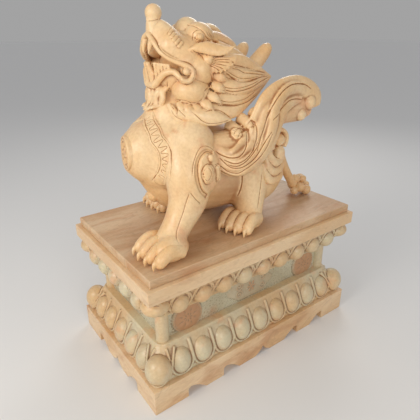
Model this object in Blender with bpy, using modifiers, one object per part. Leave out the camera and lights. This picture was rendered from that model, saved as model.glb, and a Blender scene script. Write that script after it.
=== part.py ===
"""A winged pixiu carved in marble, head thrown back, standing on a slab that lies on a lotus plinth.

The beast faces -Y. The origin is at the middle of the plinth's underside, and all sizes are in metres.
"""

import math

import bmesh
import bpy
from mathutils import Matrix, Vector

# Plinth: the cap, and what the other courses measure from its edges
CAP_LENGTH = 0.930
CAP_WIDTH = 0.555
CAP_THICKNESS = 0.047
FOOT_OVERHANG = 0.003
FOOT_HEIGHT = 0.093
LOWER_LOTUS_HEIGHT = 0.104
WAIST_HEIGHT = 0.126
UPPER_LOTUS_HEIGHT = 0.094
WAIST_INSET = 0.084
LOTUS_INSET = 0.007
LOTUS_NECK_INSET = 0.052
PETAL_RELIEF = 0.026
PETAL_PITCH = 0.0925
CORNER_ROUNDING = 0.25
COLONNETTE_RADIUS = 0.024
MEDALLION_RADIUS = 0.060
PANEL_RELIEF = 0.007
MEDALLION_FROM_COLONNETTE = 0.015
BOSS_HALF_HEIGHT = 0.05
BOSS_SHARE = 0.28

# Apron under the foot course
APRON_DEPTH = 0.030
FOOT_WIDTH = 0.127
NOTCH_HEIGHT = 0.039
NOTCH_RUN = 0.074
LOBE_WIDTH = 0.151

# The beast with its own slab
SLAB_THICKNESS = 0.030
SLAB_INSET = 0.015
SLAB_CHAMFER = 0.004
FIGURE_HEIGHT = 0.706
BED_GAP = 0.0003
FIGURE_TRIANGLES = 5440
FUSING_CELL = 0.0055
CREVICE = 0.003

# Heights and half sizes that follow from those
LOWER_LOTUS_TOP = FOOT_HEIGHT + LOWER_LOTUS_HEIGHT
WAIST_TOP = LOWER_LOTUS_TOP + WAIST_HEIGHT
CAP_BOTTOM = WAIST_TOP + UPPER_LOTUS_HEIGHT
CAP_TOP = CAP_BOTTOM + CAP_THICKNESS
SLAB_TOP = CAP_TOP + SLAB_THICKNESS
HALF_X = CAP_WIDTH / 2
HALF_Y = CAP_LENGTH / 2
OVERLAP = 0.004

# One figure unit: the beast is 75.9 units from its slab to the tip of its nose
UNIT = FIGURE_HEIGHT / 75.9
LEAST_HALF_WIDTH = 0.45

FIGURE_COLOUR = (0.71, 0.50, 0.32, 1)
PLINTH_COLOUR = (0.62, 0.48, 0.33, 1)
POLISH_ROUGHNESS = 0.32


def clear_scene():
    for thing in list(bpy.data.objects):
        bpy.data.objects.remove(thing, do_unlink=True)


def new_collection(name):
    collection = bpy.data.collections.new(name)
    bpy.context.scene.collection.children.link(collection)
    return collection


def stone(name, colour):
    material = bpy.data.materials.new(name)
    material.use_nodes = True
    shader = material.node_tree.nodes["Principled BSDF"]
    shader.inputs["Base Color"].default_value = colour
    shader.inputs["Roughness"].default_value = POLISH_ROUGHNESS
    shader.inputs["Metallic"].default_value = 0
    return material


def new_object(name, bm, collection, material=None):
    bmesh.ops.recalc_face_normals(bm, faces=bm.faces[:])
    mesh = bpy.data.meshes.new(name)
    bm.to_mesh(mesh)
    bm.free()
    thing = bpy.data.objects.new(name, mesh)
    collection.objects.link(thing)
    if material:
        mesh.materials.append(material)
    return thing


def as_helper(thing):
    thing.hide_render = True
    thing.display_type = "WIRE"
    return thing


# Free forms of the beast, in figure units: x to its left flank, -y to its face, z up from the slab


def smooth_stations(stations, steps):
    """The stations with Catmull-Rom steps between them."""
    rows = [Vector(row) for row in stations]
    rows = [2 * rows[0] - rows[1]] + rows + [2 * rows[-1] - rows[-2]]
    found = []
    for a, b, c, d in zip(rows, rows[1:], rows[2:], rows[3:]):
        for step in range(steps):
            t = step / steps
            curve = (2 * a - 5 * b + 4 * c - d) * t * t + (3 * b - a - 3 * c + d) * t**3
            found.append(0.5 * (2 * b + (c - a) * t + curve))
    found.append(rows[-2])
    return found


def limb(bm, stations, out=(1, 0, 0), steps=3, sides=10):
    """A closed loft along rows of (x, y, z, half width, half depth). The depth lies along out."""
    rings = []
    rows = smooth_stations(stations, steps)
    for index, row in enumerate(rows):
        before = rows[max(index - 1, 0)]
        after = rows[min(index + 1, len(rows) - 1)]
        along = Vector(after[:3]) - Vector(before[:3])
        along.normalize()
        depth = Vector(out) - along * along.dot(Vector(out))
        depth.normalize()
        width = along.cross(depth)
        ring = []
        for side in range(sides):
            turn = math.tau * side / sides
            offset = width * math.cos(turn) * max(row[3], LEAST_HALF_WIDTH)
            offset += depth * math.sin(turn) * max(row[4], LEAST_HALF_WIDTH)
            ring.append(bm.verts.new(Vector(row[:3]) + offset))
        rings.append(ring)
    for low, high in zip(rings, rings[1:]):
        for side in range(sides):
            other = (side + 1) % sides
            bm.faces.new((low[side], low[other], high[other], high[side]))
    bm.faces.new(rings[0][::-1])
    bm.faces.new(rings[-1])


def ball(bm, centre, radii, pitch=0.0, fineness=2):
    """An ellipsoid, turned by pitch degrees about x."""
    shape = Matrix.Rotation(math.radians(pitch), 4, "X") @ Matrix.Diagonal((*radii, 1))
    bmesh.ops.create_icosphere(bm, subdivisions=fineness, radius=1, matrix=Matrix.Translation(centre) @ shape)


def mirrored(bm, build):
    """Builds a shape on the near side and its mirror image on the far side."""
    near = bmesh.new()
    build(near)
    for sign in (1, -1):
        copies = {vert: bm.verts.new((sign * vert.co.x, vert.co.y, vert.co.z)) for vert in near.verts}
        for face in near.faces:
            corners = [copies[vert] for vert in face.verts]
            bm.faces.new(corners if sign > 0 else corners[::-1])
    near.free()


def torso(bm):
    limb(
        bm,
        (
            (0, -30, 28, 9, 10),
            (0, -20, 24, 14.5, 16.5),
            (0, -8, 20.5, 17, 16),
            (0, 6, 20, 17, 15.5),
            (0, 15, 20.5, 15.5, 15),
            (0, 23.5, 21, 11, 12),
            (0, 28.5, 20, 5, 7),
        ),
        out=(0, 0, 1),
        sides=20,
    )
    ball(bm, (0, -25.4, 29.6), (14.4, 14.2, 14.6), fineness=3)
    limb(
        bm,
        ((0, -22, 34, 12, 12), (0, -21, 41, 10.5, 10.5), (0, -18, 48, 9.5, 10), (0, -15, 56, 9, 9)),
        out=(0, -1, 0),
        sides=18,
    )


def skull(bm):
    ball(bm, (0, -13.5, 60), (10.5, 9.5, 9.5), fineness=3)
    limb(
        bm,
        (
            (0, -15, 63, 9, 6),
            (0, -21, 64, 7.6, 5.4),
            (0, -25.5, 66.5, 5.2, 4.2),
            (0, -28, 69, 3.3, 2.6),
            (0, -28, 71, 2.4, 2),
        ),
        out=(0, -0.5, 1),
        sides=16,
    )
    ball(bm, (0, -26.2, 72.8), (3.2, 2.9, 3.1), fineness=3)
    limb(bm, ((0, -26.4, 68.5, 2.8, 2.6), (0, -26.3, 71.5, 2.7, 2.5)), out=(0, -1, 0), sides=14)


def face_side(bm):
    ball(bm, (4.6, -14, 67), (6, 6.6, 5), fineness=3)
    ball(bm, (4.6, -24.4, 63.6), (3.6, 3.8, 3.6))
    ball(bm, (8.6, -15.4, 55.2), (5.4, 5, 5), fineness=3)
    ball(bm, (7.4, -18.6, 49.8), (6.3, 6.4, 5.4), fineness=3)
    ball(bm, (9.3, -14.9, 66.2), (1.5, 1.5, 1.4))
    lid = ((7.6, -18.8, 65.6, 0.5, 0.5), (9.6, -16.6, 67.9, 0.8, 0.8), (10.6, -13, 67.4, 0.5, 0.5))
    limb(bm, lid, sides=8)
    for fold in range(4):
        share = fold / 3
        y, z = -21.9 + 1.3 * share, 67.4 - 4.2 * share
        limb(
            bm,
            (
                (3 + 4 * share, y - 0.6, z - 1.2, 0.5, 0.6),
                (4.4 + 4.4 * share, y, z, 0.8, 0.9),
                (4.6 + 4.4 * share, y + 1.2, z + 1.1, 0.5, 0.6),
            ),
            steps=2,
            sides=8,
        )


def mouth_side(bm):
    upper_lip = (
        (1.2, -30.4, 67.6, 1.0, 0.9),
        (4.6, -29.4, 65.8, 1.1, 1.0),
        (6.9, -27.8, 62.9, 1.1, 1.0),
        (8.9, -26.2, 60.7, 1.1, 1.0),
        (10.9, -24.4, 59.3, 1.1, 1.0),
        (12.5, -22.3, 58.2, 1.1, 1.0),
        (13.2, -21.0, 56.0, 1.1, 1.0),
        (12.6, -22.6, 54.4, 1.0, 1.0),
        (11.5, -24.4, 54.9, 0.9, 0.9),
    )
    limb(bm, upper_lip, sides=8)
    lower_lip = (
        (0.5, -29.9, 53.0, 1.1, 1.0),
        (4.0, -29.4, 52.9, 1.1, 1.0),
        (5.8, -28.3, 55.0, 1.1, 1.0),
        (7.8, -26.9, 57.1, 1.1, 1.0),
        (9.6, -25.4, 56.8, 1.1, 1.0),
        (11.2, -24.1, 54.9, 1.0, 0.9),
    )
    limb(bm, lower_lip, sides=8)
    ball(bm, (11.3, -22.2, 56.9), (1.5, 1.5, 1.5))
    limb(bm, ((7.5, -19, 57, 3, 4), (10.4, -21.5, 56.6, 2.6, 2.8)), out=(0, 0, 1), sides=10)
    upper_fang = ((2.8, -29.2, 66.2, 1.5, 1.3), (3.2, -30.4, 63.6, 0.9, 0.9), (3.1, -31.2, 61.4, 0.15, 0.15))
    limb(bm, upper_fang, steps=2, sides=8)
    lower_fang = ((2.4, -28.2, 56.0, 2.0, 1.6), (2.0, -29.8, 57.8, 1.2, 1.0), (1.6, -30.8, 59.5, 0.15, 0.15))
    limb(bm, lower_fang, steps=2, sides=8)
    for tooth in range(4):
        share = tooth / 3
        place = (4.8 + 3.4 * share, -28.0 + 2.4 * share, 61.9 - 2.6 * share)
        ball(bm, place, (0.8, 0.8, 1.2), fineness=1)


def jaw(bm):
    limb(
        bm,
        (
            (0, -17, 52.5, 9, 4.5),
            (0, -22, 52.6, 8, 3.4),
            (0, -27, 53.6, 5.6, 2.6),
            (0, -29.4, 54.2, 3.2, 1.8),
        ),
        out=(0, 0, 1),
        sides=16,
    )
    ball(bm, (0, -26.6, 51.2), (5.2, 3.2, 3.0), fineness=3)
    tongue = ((0, -20, 55.2, 3.6, 1.2), (0, -25.5, 56.2, 3, 1.1), (0, -28, 57.6, 1.6, 0.8))
    limb(bm, tongue, out=(0, 0, 1))


def beard(bm):
    for strand in range(5):
        x = (strand - 2) * 1.9
        back = 0.28 * abs(x)
        limb(
            bm,
            (
                (x, -28.4 + back, 51.5, 1.3, 1.3),
                (x * 0.9, -29.0 + back, 48.6, 1.3, 1.3),
                (x * 0.6, -28.9 + back, 46.2, 1.1, 1.1),
                (x * 0.35, -30.3, 44.1, 0.4, 0.5),
            ),
            steps=3,
            sides=8,
        )


def ear(bm):
    limb(
        bm,
        (
            (9.4, -19.4, 63.0, 0.5, 0.9),
            (12.2, -16.4, 63.9, 1.6, 1.0),
            (14.8, -12.6, 63.2, 1.8, 0.8),
            (16.8, -8.4, 63.9, 0.15, 0.2),
        ),
        out=(1, -0.4, 0.5),
        sides=10,
    )
    ball(bm, (13.0, -15.0, 60.4), (1.8, 1.8, 1.8))
    for ray in range(6):
        share = ray / 5
        tip = Vector((13.6 + 2.6 * share, -14.2 + 7.0 * share, 56.6 + 4.8 * share**1.6))
        middle = Vector((12.6, -14.4, 60.2)).lerp(tip, 0.55)
        limb(bm, ((12.0, -14.4, 60.6, 0.5, 0.8), (*middle, 0.9, 0.9), (*tip, 0.9, 0.6)), steps=2, sides=8)


def horn(bm):
    limb(
        bm,
        (
            (4.5, 4, 52, 3.2, 3.2),
            (5.3, 10.4, 56.2, 2.9, 2.9),
            (6.0, 14.4, 60.2, 2.6, 2.6),
            (6.3, 16.6, 62.6, 1.9, 1.9),
            (6.4, 17.3, 63.7, 0.7, 0.7),
        ),
        sides=12,
    )


def crest(bm):
    lock = (
        (0, -9, 68.5, 3.4, 1.6),
        (0, -4.6, 68.8, 2.8, 1.5),
        (0, -0.8, 66.2, 2.2, 1.2),
        (0, 1.2, 62.8, 0.5, 0.5),
    )
    limb(bm, lock, out=(0, 0.6, 1))
    ball(bm, (0, -5, 58), (10, 9, 9), fineness=3)


def mane_side(bm):
    limb(
        bm,
        (
            (6.5, -14, 52, 8.5, 6),
            (9.0, -6, 51.6, 9.2, 6.2),
            (10.6, 2, 51.6, 7.6, 5.4),
            (11.6, 9, 52.4, 4.4, 3.4),
            (12.2, 13.2, 53.4, 0.5, 0.5),
        ),
        sides=16,
    )
    limb(
        bm,
        (
            (9.0, -24, 44.0, 1.8, 2.4),
            (13.0, -19.5, 43.0, 2.6, 2.2),
            (16.2, -14.5, 42.3, 2.3, 1.6),
            (18.0, -9.4, 41.6, 0.2, 0.2),
        ),
        out=(1, -0.3, 0.1),
    )
    front_lock = ((9.8, -27.4, 46.6, 0.9, 1.0), (12.0, -25.0, 42.6, 1.6, 1.2), (13.6, -21.6, 38.7, 0.2, 0.2))
    limb(bm, front_lock, out=(1, -0.6, 0))
    for tuft in range(7):
        share = tuft / 6
        turn = math.radians(20 - 140 * share)
        root = Vector((10.6 - 2.0 * share, -18.6 + 5.4 * math.cos(turn), 52.4 + 6.2 * math.sin(turn)))
        tip = Vector((14.8 - 2.6 * share, -18.6 + 10.6 * math.cos(turn), 51.8 + 9.4 * math.sin(turn)))
        middle = root.lerp(tip, 0.5) + Vector((0.9, 0, 0))
        limb(bm, ((*root, 1.5, 1.2), (*middle, 1.9, 1.2), (*tip, 0.2, 0.2)), sides=8)


def collar(bm):
    """A band from the throat down either side of the chest, with a bell under it."""
    path = (
        (0.5, -31.9, 42.4),
        (5.6, -31.9, 38),
        (9.6, -31.3, 33.2),
        (11.2, -31.3, 28.4),
        (9.6, -31.4, 24),
        (5.4, -31.6, 20.6),
    )
    limb(bm, [(*point, 2.2, 0.8) for point in path], out=(0.55, -1, 0.1), steps=4, sides=8)


def coin_and_bell(bm):
    tilt = Matrix.Rotation(math.radians(90 - 4), 4, "X")
    place = Matrix.Translation((0, -37.6, 31.0)) @ tilt
    bmesh.ops.create_cone(bm, cap_ends=True, segments=24, radius1=5.8, radius2=5.8, depth=3.2, matrix=place)
    ball(bm, (0, -29.5, 14.6), (2.6, 2.6, 3.0))
    limb(bm, ((0, -30.5, 20.5, 1.4, 1.4), (0, -29.8, 17, 1.3, 1.3)), out=(0, -1, 0), sides=8)


def paw(bm, x, y, turn, spread, toes=4):
    """A clawed paw on the slab. x, y is the middle of its knuckles, turned outward by turn degrees."""
    facing = Vector((math.sin(math.radians(turn)), -math.cos(math.radians(turn)), 0))
    across = Vector((-facing.y, facing.x, 0))
    middle = Vector((x, y, 0))
    for toe in range(toes):
        place = middle + across * spread * (toe / (toes - 1) - 0.5)
        knuckle = place + Vector((0, 0, 4.6))
        tip = place + facing * 4.4 + Vector((0, 0, 2.3))
        claw = place + facing * 7.6 + Vector((0, 0, 0.4))
        heel = place - facing * 5 + Vector((0, 0, 3.4))
        end = tip + facing * 1.6
        limb(bm, ((*heel, 2.2, 2.6), (*knuckle, 2.3, 2.6), (*tip, 2.2, 2.3), (*end, 1.4, 1.6)), out=(0, 0, 1))
        root = tip + Vector((0, 0, 0.6))
        bend = claw.lerp(tip, 0.3)
        limb(bm, ((*root, 1.0, 1.0), (*bend, 0.8, 0.9), (*claw, 0.3, 0.3)), out=(0, 0, 1), steps=2, sides=6)
    ball(bm, middle - facing * 3.5 + Vector((0, 0, 2.4)), (spread * 0.62, 5.2, 3.4), fineness=3)


def foreleg(bm, x, reach):
    """x is 1 on the near side and -1 on the far one. reach moves the paw forward."""
    limb(
        bm,
        (
            (13.0 * x, -20.0 - 0.15 * reach, 34, 6.5, 6.0),
            (14.6 * x, -20.5 - 0.25 * reach, 26, 8.4, 7.2),
            (16.0 * x, -19.5 - 0.45 * reach, 17, 6.9, 6.2),
            (16.8 * x, -20.0 - 0.70 * reach, 10.5, 5.2, 5.0),
            (17.4 * x, -20.5 - 0.95 * reach, 5.6, 4.6, 5.0),
            (17.8 * x, -21.0 - 1.05 * reach, 3.2, 4.2, 6.0),
        ),
        out=(1, 0, 0),
        sides=16,
    )
    paw(bm, 18.2 * x, -24.5 - 1.05 * reach, 2 * x, 12.5 * x)
    ball(bm, (22.0 * x, -20.5 - 1.1 * reach, 4.2), (4.2, 6.0, 4.2), fineness=3)


def shoulder_scroll(bm):
    ring = []
    for step in range(11):
        turn = math.radians(-60 + 25 * step)
        size = 1 - 0.02 * step
        ring.append((19.4, -22.4 + 4.6 * size * math.cos(turn), 27.3 + 7.6 * size * math.sin(turn), 1.2, 1.4))
    limb(bm, ring, steps=2, sides=8)
    ball(bm, (20.4, -21.8, 26.4), (2.0, 2.2, 3.4))
    ball(bm, (20.6, -19.6, 31.0), (1.6, 1.4, 1.4))


def hind_leg(bm):
    ball(bm, (11.0, 10, 19.5), (9.5, 13, 13.5), pitch=12, fineness=3)
    limb(
        bm,
        (
            (14.0, 3.0, 24, 9.0, 6.5),
            (15.0, 3.4, 17, 7.6, 6.6),
            (15.8, 3.4, 11, 6.2, 5.8),
            (16.2, 3.0, 6.4, 5.4, 5.4),
            (16.4, 2.6, 3.0, 5.4, 5.6),
        ),
        sides=16,
    )
    paw(bm, 18.2, -2.0, 24, 11.5)


def haunch_curls(bm):
    ball(bm, (19.2, 11.4, 32.4), (1.9, 2.0, 2.0))
    hood = []
    for step in range(7):
        turn = math.radians(200 - 36 * step)
        hood.append((18.4, 11.4 + 3.3 * math.cos(turn), 32.2 + 3.2 * math.sin(turn), 1.0, 1.3))
    limb(bm, hood, steps=2, sides=8)
    ball(bm, (19.0, 11.6, 27.4), (1.8, 1.8, 2.4))
    for drop, length in ((25.6, 4.6), (22.4, 5.4), (18.6, 5.8)):
        limb(
            bm,
            (
                (18.6, 5.4, drop + 3.4, 0.7, 1.2),
                (19.4, 7.8, drop - 1.0, 1.4, 1.6),
                (18.8, 11.0, drop - 2.6, 1.5, 1.6),
                (17.6, 8.6 + length, drop - 0.8, 0.9, 1.0),
            ),
            sides=8,
        )


def wing_ribs():
    """The middle lines of five ribs, from the shoulder down and up. The last two run into the blade."""
    ribs = []
    for index, (end_y, end_z) in enumerate(((-6.6, 37.4), (-3.0, 38.6), (0.4, 39.4))):
        low = 30.9 - 1.55 * index
        back = 1.9 * index
        ribs.append(
            (
                (17.5 + 0.75 * index, -20.5 + 0.5 * index, 36.4 - 1.7 * index),
                (20.5 + index, -16.5 + 0.5 * index, low + 1.7),
                (21.6 + 1.2 * index, -12.5 + back / 2, low),
                (21.8 + 1.2 * index, -8.6 + back, low + 1.8),
                (21.6 + 1.2 * index, -6.3 + 1.4 * back, low + 4.6),
                (20.6 + 1.1 * index, end_y, end_z),
            )
        )
    ribs.append(
        (
            (19.4, -18.8, 31.2),
            (22.6, -14.6, 27.4),
            (24.0, -9.6, 26.2),
            (24.6, -3.8, 28.4),
            (24.6, 1.0, 33.0),
            (24.4, 3.4, 39.0),
            (24.0, 4.6, 45.0),
            (23.2, 9.4, 49.4),
            (22.0, 16.2, 50.2),
            (21.0, 22.5, 48.0),
        )
    )
    ribs.append(
        (
            (19.4, -18.0, 29.8),
            (22.6, -13.4, 26.0),
            (24.0, -7.6, 26.2),
            (24.6, -1.6, 29.2),
            (24.4, 3.4, 34.0),
            (23.6, 6.8, 39.2),
            (22.8, 9.8, 43.4),
            (21.6, 14.8, 45.6),
            (21.0, 20.0, 46.0),
        )
    )
    return ribs


def wing(bm):
    for rib in wing_ribs():
        limb(bm, [(*point, 1.35, 1.9) for point in rib[:-1]] + [(*rib[-1], 1.0, 1.2)], sides=8)
    for end in ((19.0, -7.4, 37.4), (20.0, -3.4, 39.6), (21.0, 0.8, 41.2)):
        start = Vector(end) + Vector((-5.0, -0.2, 2.0))
        limb(bm, ((*start, 1.9, 1.9), (*end, 2.0, 2.0)), out=(0, 0, 1))
    blade = (
        (21.0, -1.5, 40.0, 3.0, 1.6),
        (21.6, 3.0, 46.0, 4.2, 1.7),
        (21.4, 9.0, 49.2, 4.2, 1.8),
        (20.6, 17.0, 50.2, 4.0, 1.9),
        (20.2, 24.0, 48.6, 3.8, 1.9),
        (20.0, 28.4, 45.6, 3.6, 1.8),
        (20.0, 29.4, 42.4, 2.6, 1.6),
    )
    limb(bm, blade, sides=12)
    under = (
        (21.0, 7, 40.5, 3.0, 1.3),
        (20.4, 14, 42.0, 4.2, 1.4),
        (20.2, 21, 42.4, 4.6, 1.5),
        (20.0, 26.4, 42.6, 3.4, 1.4),
    )
    limb(bm, under, sides=12)
    ball(bm, (20.8, 24.8, 44.2), (2.4, 2.6, 2.6))
    ball(bm, (20.6, 20.6, 40.2), (2.2, 2.3, 2.2))
    web = (
        (15, -16, 33, 5.0, 4),
        (18, -10, 31.5, 4.4, 3.4),
        (19.5, -3, 32.5, 4.8, 3.2),
        (20, 3, 36.5, 4.6, 2.8),
        (20.4, 6, 42, 4, 1.8),
    )
    limb(bm, web, sides=12)


def tail(bm):
    limb(
        bm,
        (
            (2.5, 27, 24, 4, 4),
            (4.6, 30.6, 18, 3.4, 3.4),
            (5.6, 33.4, 11, 3.2, 3.2),
            (6.4, 37, 5.4, 3.6, 3.6),
            (6.8, 41, 3.6, 3.4, 3.6),
        ),
        sides=12,
    )
    ball(bm, (8.6, 38.8, 4.6), (2.3, 2.3, 2.3))
    ball(bm, (6.2, 38.4, 8.4), (2.6, 2.4, 2.4))
    ball(bm, (5.8, 42.4, 6.6), (2.8, 2.6, 2.8))
    ball(bm, (6.6, 44.0, 3.2), (2.8, 2.4, 2.8))


def figure_forms():
    """All the beast's forms as overlapping closed shapes, in figure units."""
    bm = bmesh.new()
    for central in (torso, skull, jaw, beard, crest, coin_and_bell, tail):
        central(bm)
    for paired in (face_side, mouth_side, ear, horn, mane_side):
        mirrored(bm, paired)
    for paired in (collar, shoulder_scroll, hind_leg, haunch_curls, wing):
        mirrored(bm, paired)
    foreleg(bm, 1, 14)
    foreleg(bm, -1, -7)
    return bm


def slab_box(low, high, inset, chamfer):
    bm = bmesh.new()
    half = Matrix.Diagonal((CAP_WIDTH - 2 * inset, CAP_LENGTH - 2 * inset, high - low, 1))
    bmesh.ops.create_cube(bm, size=1, matrix=Matrix.Translation((0, 0, (low + high) / 2)) @ half)
    if chamfer:
        top = [edge for edge in bm.edges if all(vert.co.z > (low + high) / 2 for vert in edge.verts)]
        bmesh.ops.bevel(bm, geom=top, offset=chamfer, segments=1, affect="EDGES")
    return bm


def count_triangles(thing):
    bpy.context.view_layer.update()
    evaluated = thing.evaluated_get(bpy.context.evaluated_depsgraph_get())
    mesh = evaluated.to_mesh()
    mesh.calc_loop_triangles()
    count = len(mesh.loop_triangles)
    evaluated.to_mesh_clear()
    return count


def union(thing, helper):
    joined = thing.modifiers.new("Join " + helper.name, "BOOLEAN")
    joined.operation = "UNION"
    joined.solver = "EXACT"
    joined.object = helper


def fuse(thing, name):
    step = thing.modifiers.new(name, "REMESH")
    step.mode = "VOXEL"
    step.voxel_size = FUSING_CELL


def swell(thing, name, distance):
    step = thing.modifiers.new(name, "DISPLACE")
    step.mid_level = 0
    step.strength = distance


def make_pixiu(parts, cutters):
    bm = figure_forms()
    on_slab = Matrix.Translation((0, 0, SLAB_TOP)) @ Matrix.Scale(UNIT, 4)
    bmesh.ops.transform(bm, matrix=on_slab, verts=bm.verts[:])
    beast = new_object("pixiu", bm, parts, stone("figure_marble", FIGURE_COLOUR))
    fuse(beast, "Fuse")
    swell(beast, "Swell", CREVICE)
    fuse(beast, "Close crevices")
    swell(beast, "Shrink", -CREVICE)
    soften = beast.modifiers.new("Soften", "SMOOTH")
    soften.iterations = 2
    soften.factor = 0.5
    thin = beast.modifiers.new("Thin", "DECIMATE")
    thin.ratio = FIGURE_TRIANGLES / count_triangles(beast)
    slab = slab_box(CAP_TOP + BED_GAP, SLAB_TOP, SLAB_INSET, SLAB_CHAMFER)
    union(beast, as_helper(new_object("slab", slab, cutters)))


# Courses of the plinth


def petal_outline(half_x, half_y, inset, relief):
    """A rectangle whose sides swell out into petals, one of them on each corner."""
    points = []
    corners = ((half_x, -half_y), (half_x, half_y), (-half_x, half_y), (-half_x, -half_y))
    for index, corner in enumerate(corners):
        after = corners[(index + 1) % 4]
        start = Vector((math.copysign(half_x - inset, corner[0]), math.copysign(half_y - inset, corner[1])))
        end = Vector((math.copysign(half_x - inset, after[0]), math.copysign(half_y - inset, after[1])))
        count = max(2, round((Vector(after) - Vector(corner)).length / PETAL_PITCH))
        run = end - start
        outward = Vector((run.y, -run.x)).normalized()
        points.append(start - start.normalized() * CORNER_ROUNDING * relief)
        for step in range(1, 4 * count):
            valley = (1 - math.cos(math.pi * step / 2)) / 2
            points.append(start + run * step / (4 * count) - outward * relief * valley**0.8)
    return points


def loft_courses(bm, outlines):
    rings = [[bm.verts.new((x, y, z)) for x, y in outline] for z, outline in outlines]
    for low, high in zip(rings, rings[1:]):
        for index in range(len(low)):
            other = (index + 1) % len(low)
            bm.faces.new((low[index], low[other], high[other], high[index]))
    bm.faces.new(rings[0][::-1])
    bm.faces.new(rings[-1])


def lotus_course(bottom, top, half_x, half_y, profile):
    """profile rows are the share of the height, the inset and the share of the petals' relief."""
    bm = bmesh.new()
    outlines = []
    for share, inset, relief in profile:
        z = bottom + share * (top - bottom)
        outlines.append((z, petal_outline(half_x, half_y, inset, relief * PETAL_RELIEF)))
    loft_courses(bm, outlines)
    return bm


def lotus_profile(turned):
    full, neck = LOTUS_INSET, LOTUS_NECK_INSET
    rows = []
    courses = ((-0.04, 0.6, 0.1), (0.10, 0.14, 0.85), (0.42, 0, 1), (0.80, 0.34, 0.8), (1.03, 1, 0.1))
    for share, rounding, relief in courses:
        rows.append((share, full + rounding * (neck - full), relief))
    if turned:
        rows = [(1 - share, inset, relief) for share, inset, relief in rows[::-1]]
    return rows


def apron_cutter(length, lobes):
    """The openings under one side of the foot course, as one extruded outline for each."""
    edges = [length / 2 - FOOT_WIDTH - lobe for lobe in lobes]
    bm = bmesh.new()
    for edge in edges:
        for side in (1, -1):
            outline = [(edge, -OVERLAP), (edge, NOTCH_HEIGHT * 0.85), (edge - 0.15 * NOTCH_RUN, NOTCH_HEIGHT)]
            for step in range(1, 5):
                share = step / 4
                run = 0.15 + 0.85 * share
                outline.append((edge - run * NOTCH_RUN, NOTCH_HEIGHT * (1 - share**1.6)))
            outline.append((edge - NOTCH_RUN, -OVERLAP))
            extrude_outline(bm, [(side * x, z) for x, z in outline])
    outline = [(-0.5 * NOTCH_RUN, -OVERLAP)]
    for step in range(-4, 5):
        share = step / 4
        outline.append((share * 0.5 * NOTCH_RUN, NOTCH_HEIGHT * (1 - math.sqrt(abs(share)))))
    outline.append((0.5 * NOTCH_RUN, -OVERLAP))
    extrude_outline(bm, outline)
    return bm


def extrude_outline(bm, outline):
    """An (x, z) outline made a solid from y = 0 inward to y = APRON_DEPTH, and a little outward."""
    near = [bm.verts.new((x, -2 * OVERLAP, z)) for x, z in outline]
    far = [bm.verts.new((x, APRON_DEPTH, z)) for x, z in outline]
    bm.faces.new(near)
    bm.faces.new(far[::-1])
    for index in range(len(outline)):
        other = (index + 1) % len(outline)
        bm.faces.new((near[index], far[index], far[other], near[other]))


def make_pedestal(parts, cutters):
    foot = slab_box(0, FOOT_HEIGHT, -FOOT_OVERHANG, 0)
    pedestal = new_object("pedestal", foot, parts, stone("plinth_marble", PLINTH_COLOUR))
    half_x = HALF_X + FOOT_OVERHANG
    half_y = HALF_Y + FOOT_OVERHANG
    for name, distance, length, lobes, turns in (
        ("long_apron", half_x, 2 * half_y, (0, LOBE_WIDTH), (90, 270)),
        ("short_apron", half_y, 2 * half_x, (0,), (0, 180)),
    ):
        for turn in turns:
            cutter = new_object(f"{name}_{turn}", apron_cutter(length, lobes), cutters)
            outward = Matrix.Translation((0, -distance, 0))
            cutter.matrix_world = Matrix.Rotation(math.radians(turn), 4, "Z") @ outward
            cut = pedestal.modifiers.new("Cut " + cutter.name, "BOOLEAN")
            cut.operation = "DIFFERENCE"
            cut.solver = "EXACT"
            cut.object = as_helper(cutter)
    lower = lotus_course(FOOT_HEIGHT, LOWER_LOTUS_TOP, half_x, half_y, lotus_profile(False))
    union(pedestal, as_helper(new_object("lower_lotus", lower, cutters)))
    waist = slab_box(FOOT_HEIGHT, CAP_BOTTOM, WAIST_INSET, 0)
    union(pedestal, as_helper(new_object("waist", waist, cutters)))
    upper = lotus_course(WAIST_TOP, CAP_BOTTOM, HALF_X, HALF_Y, lotus_profile(True))
    union(pedestal, as_helper(new_object("upper_lotus", upper, cutters)))
    columns = bmesh.new()
    for x in (HALF_X - WAIST_INSET, WAIST_INSET - HALF_X):
        for y in (HALF_Y - WAIST_INSET, WAIST_INSET - HALF_Y):
            place = Matrix.Translation((x, y, (LOWER_LOTUS_TOP + WAIST_TOP) / 2))
            bmesh.ops.create_cone(
                columns,
                cap_ends=True,
                segments=16,
                radius1=COLONNETTE_RADIUS,
                radius2=COLONNETTE_RADIUS,
                depth=WAIST_HEIGHT + 4 * OVERLAP,
                matrix=place,
            )
    union(pedestal, as_helper(new_object("colonnettes", columns, cutters)))
    union(pedestal, as_helper(new_object("panel_reliefs", panel_reliefs(), cutters)))
    cap = slab_box(CAP_BOTTOM, CAP_TOP, 0, 0)
    union(pedestal, as_helper(new_object("cap", cap, cutters)))


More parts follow.
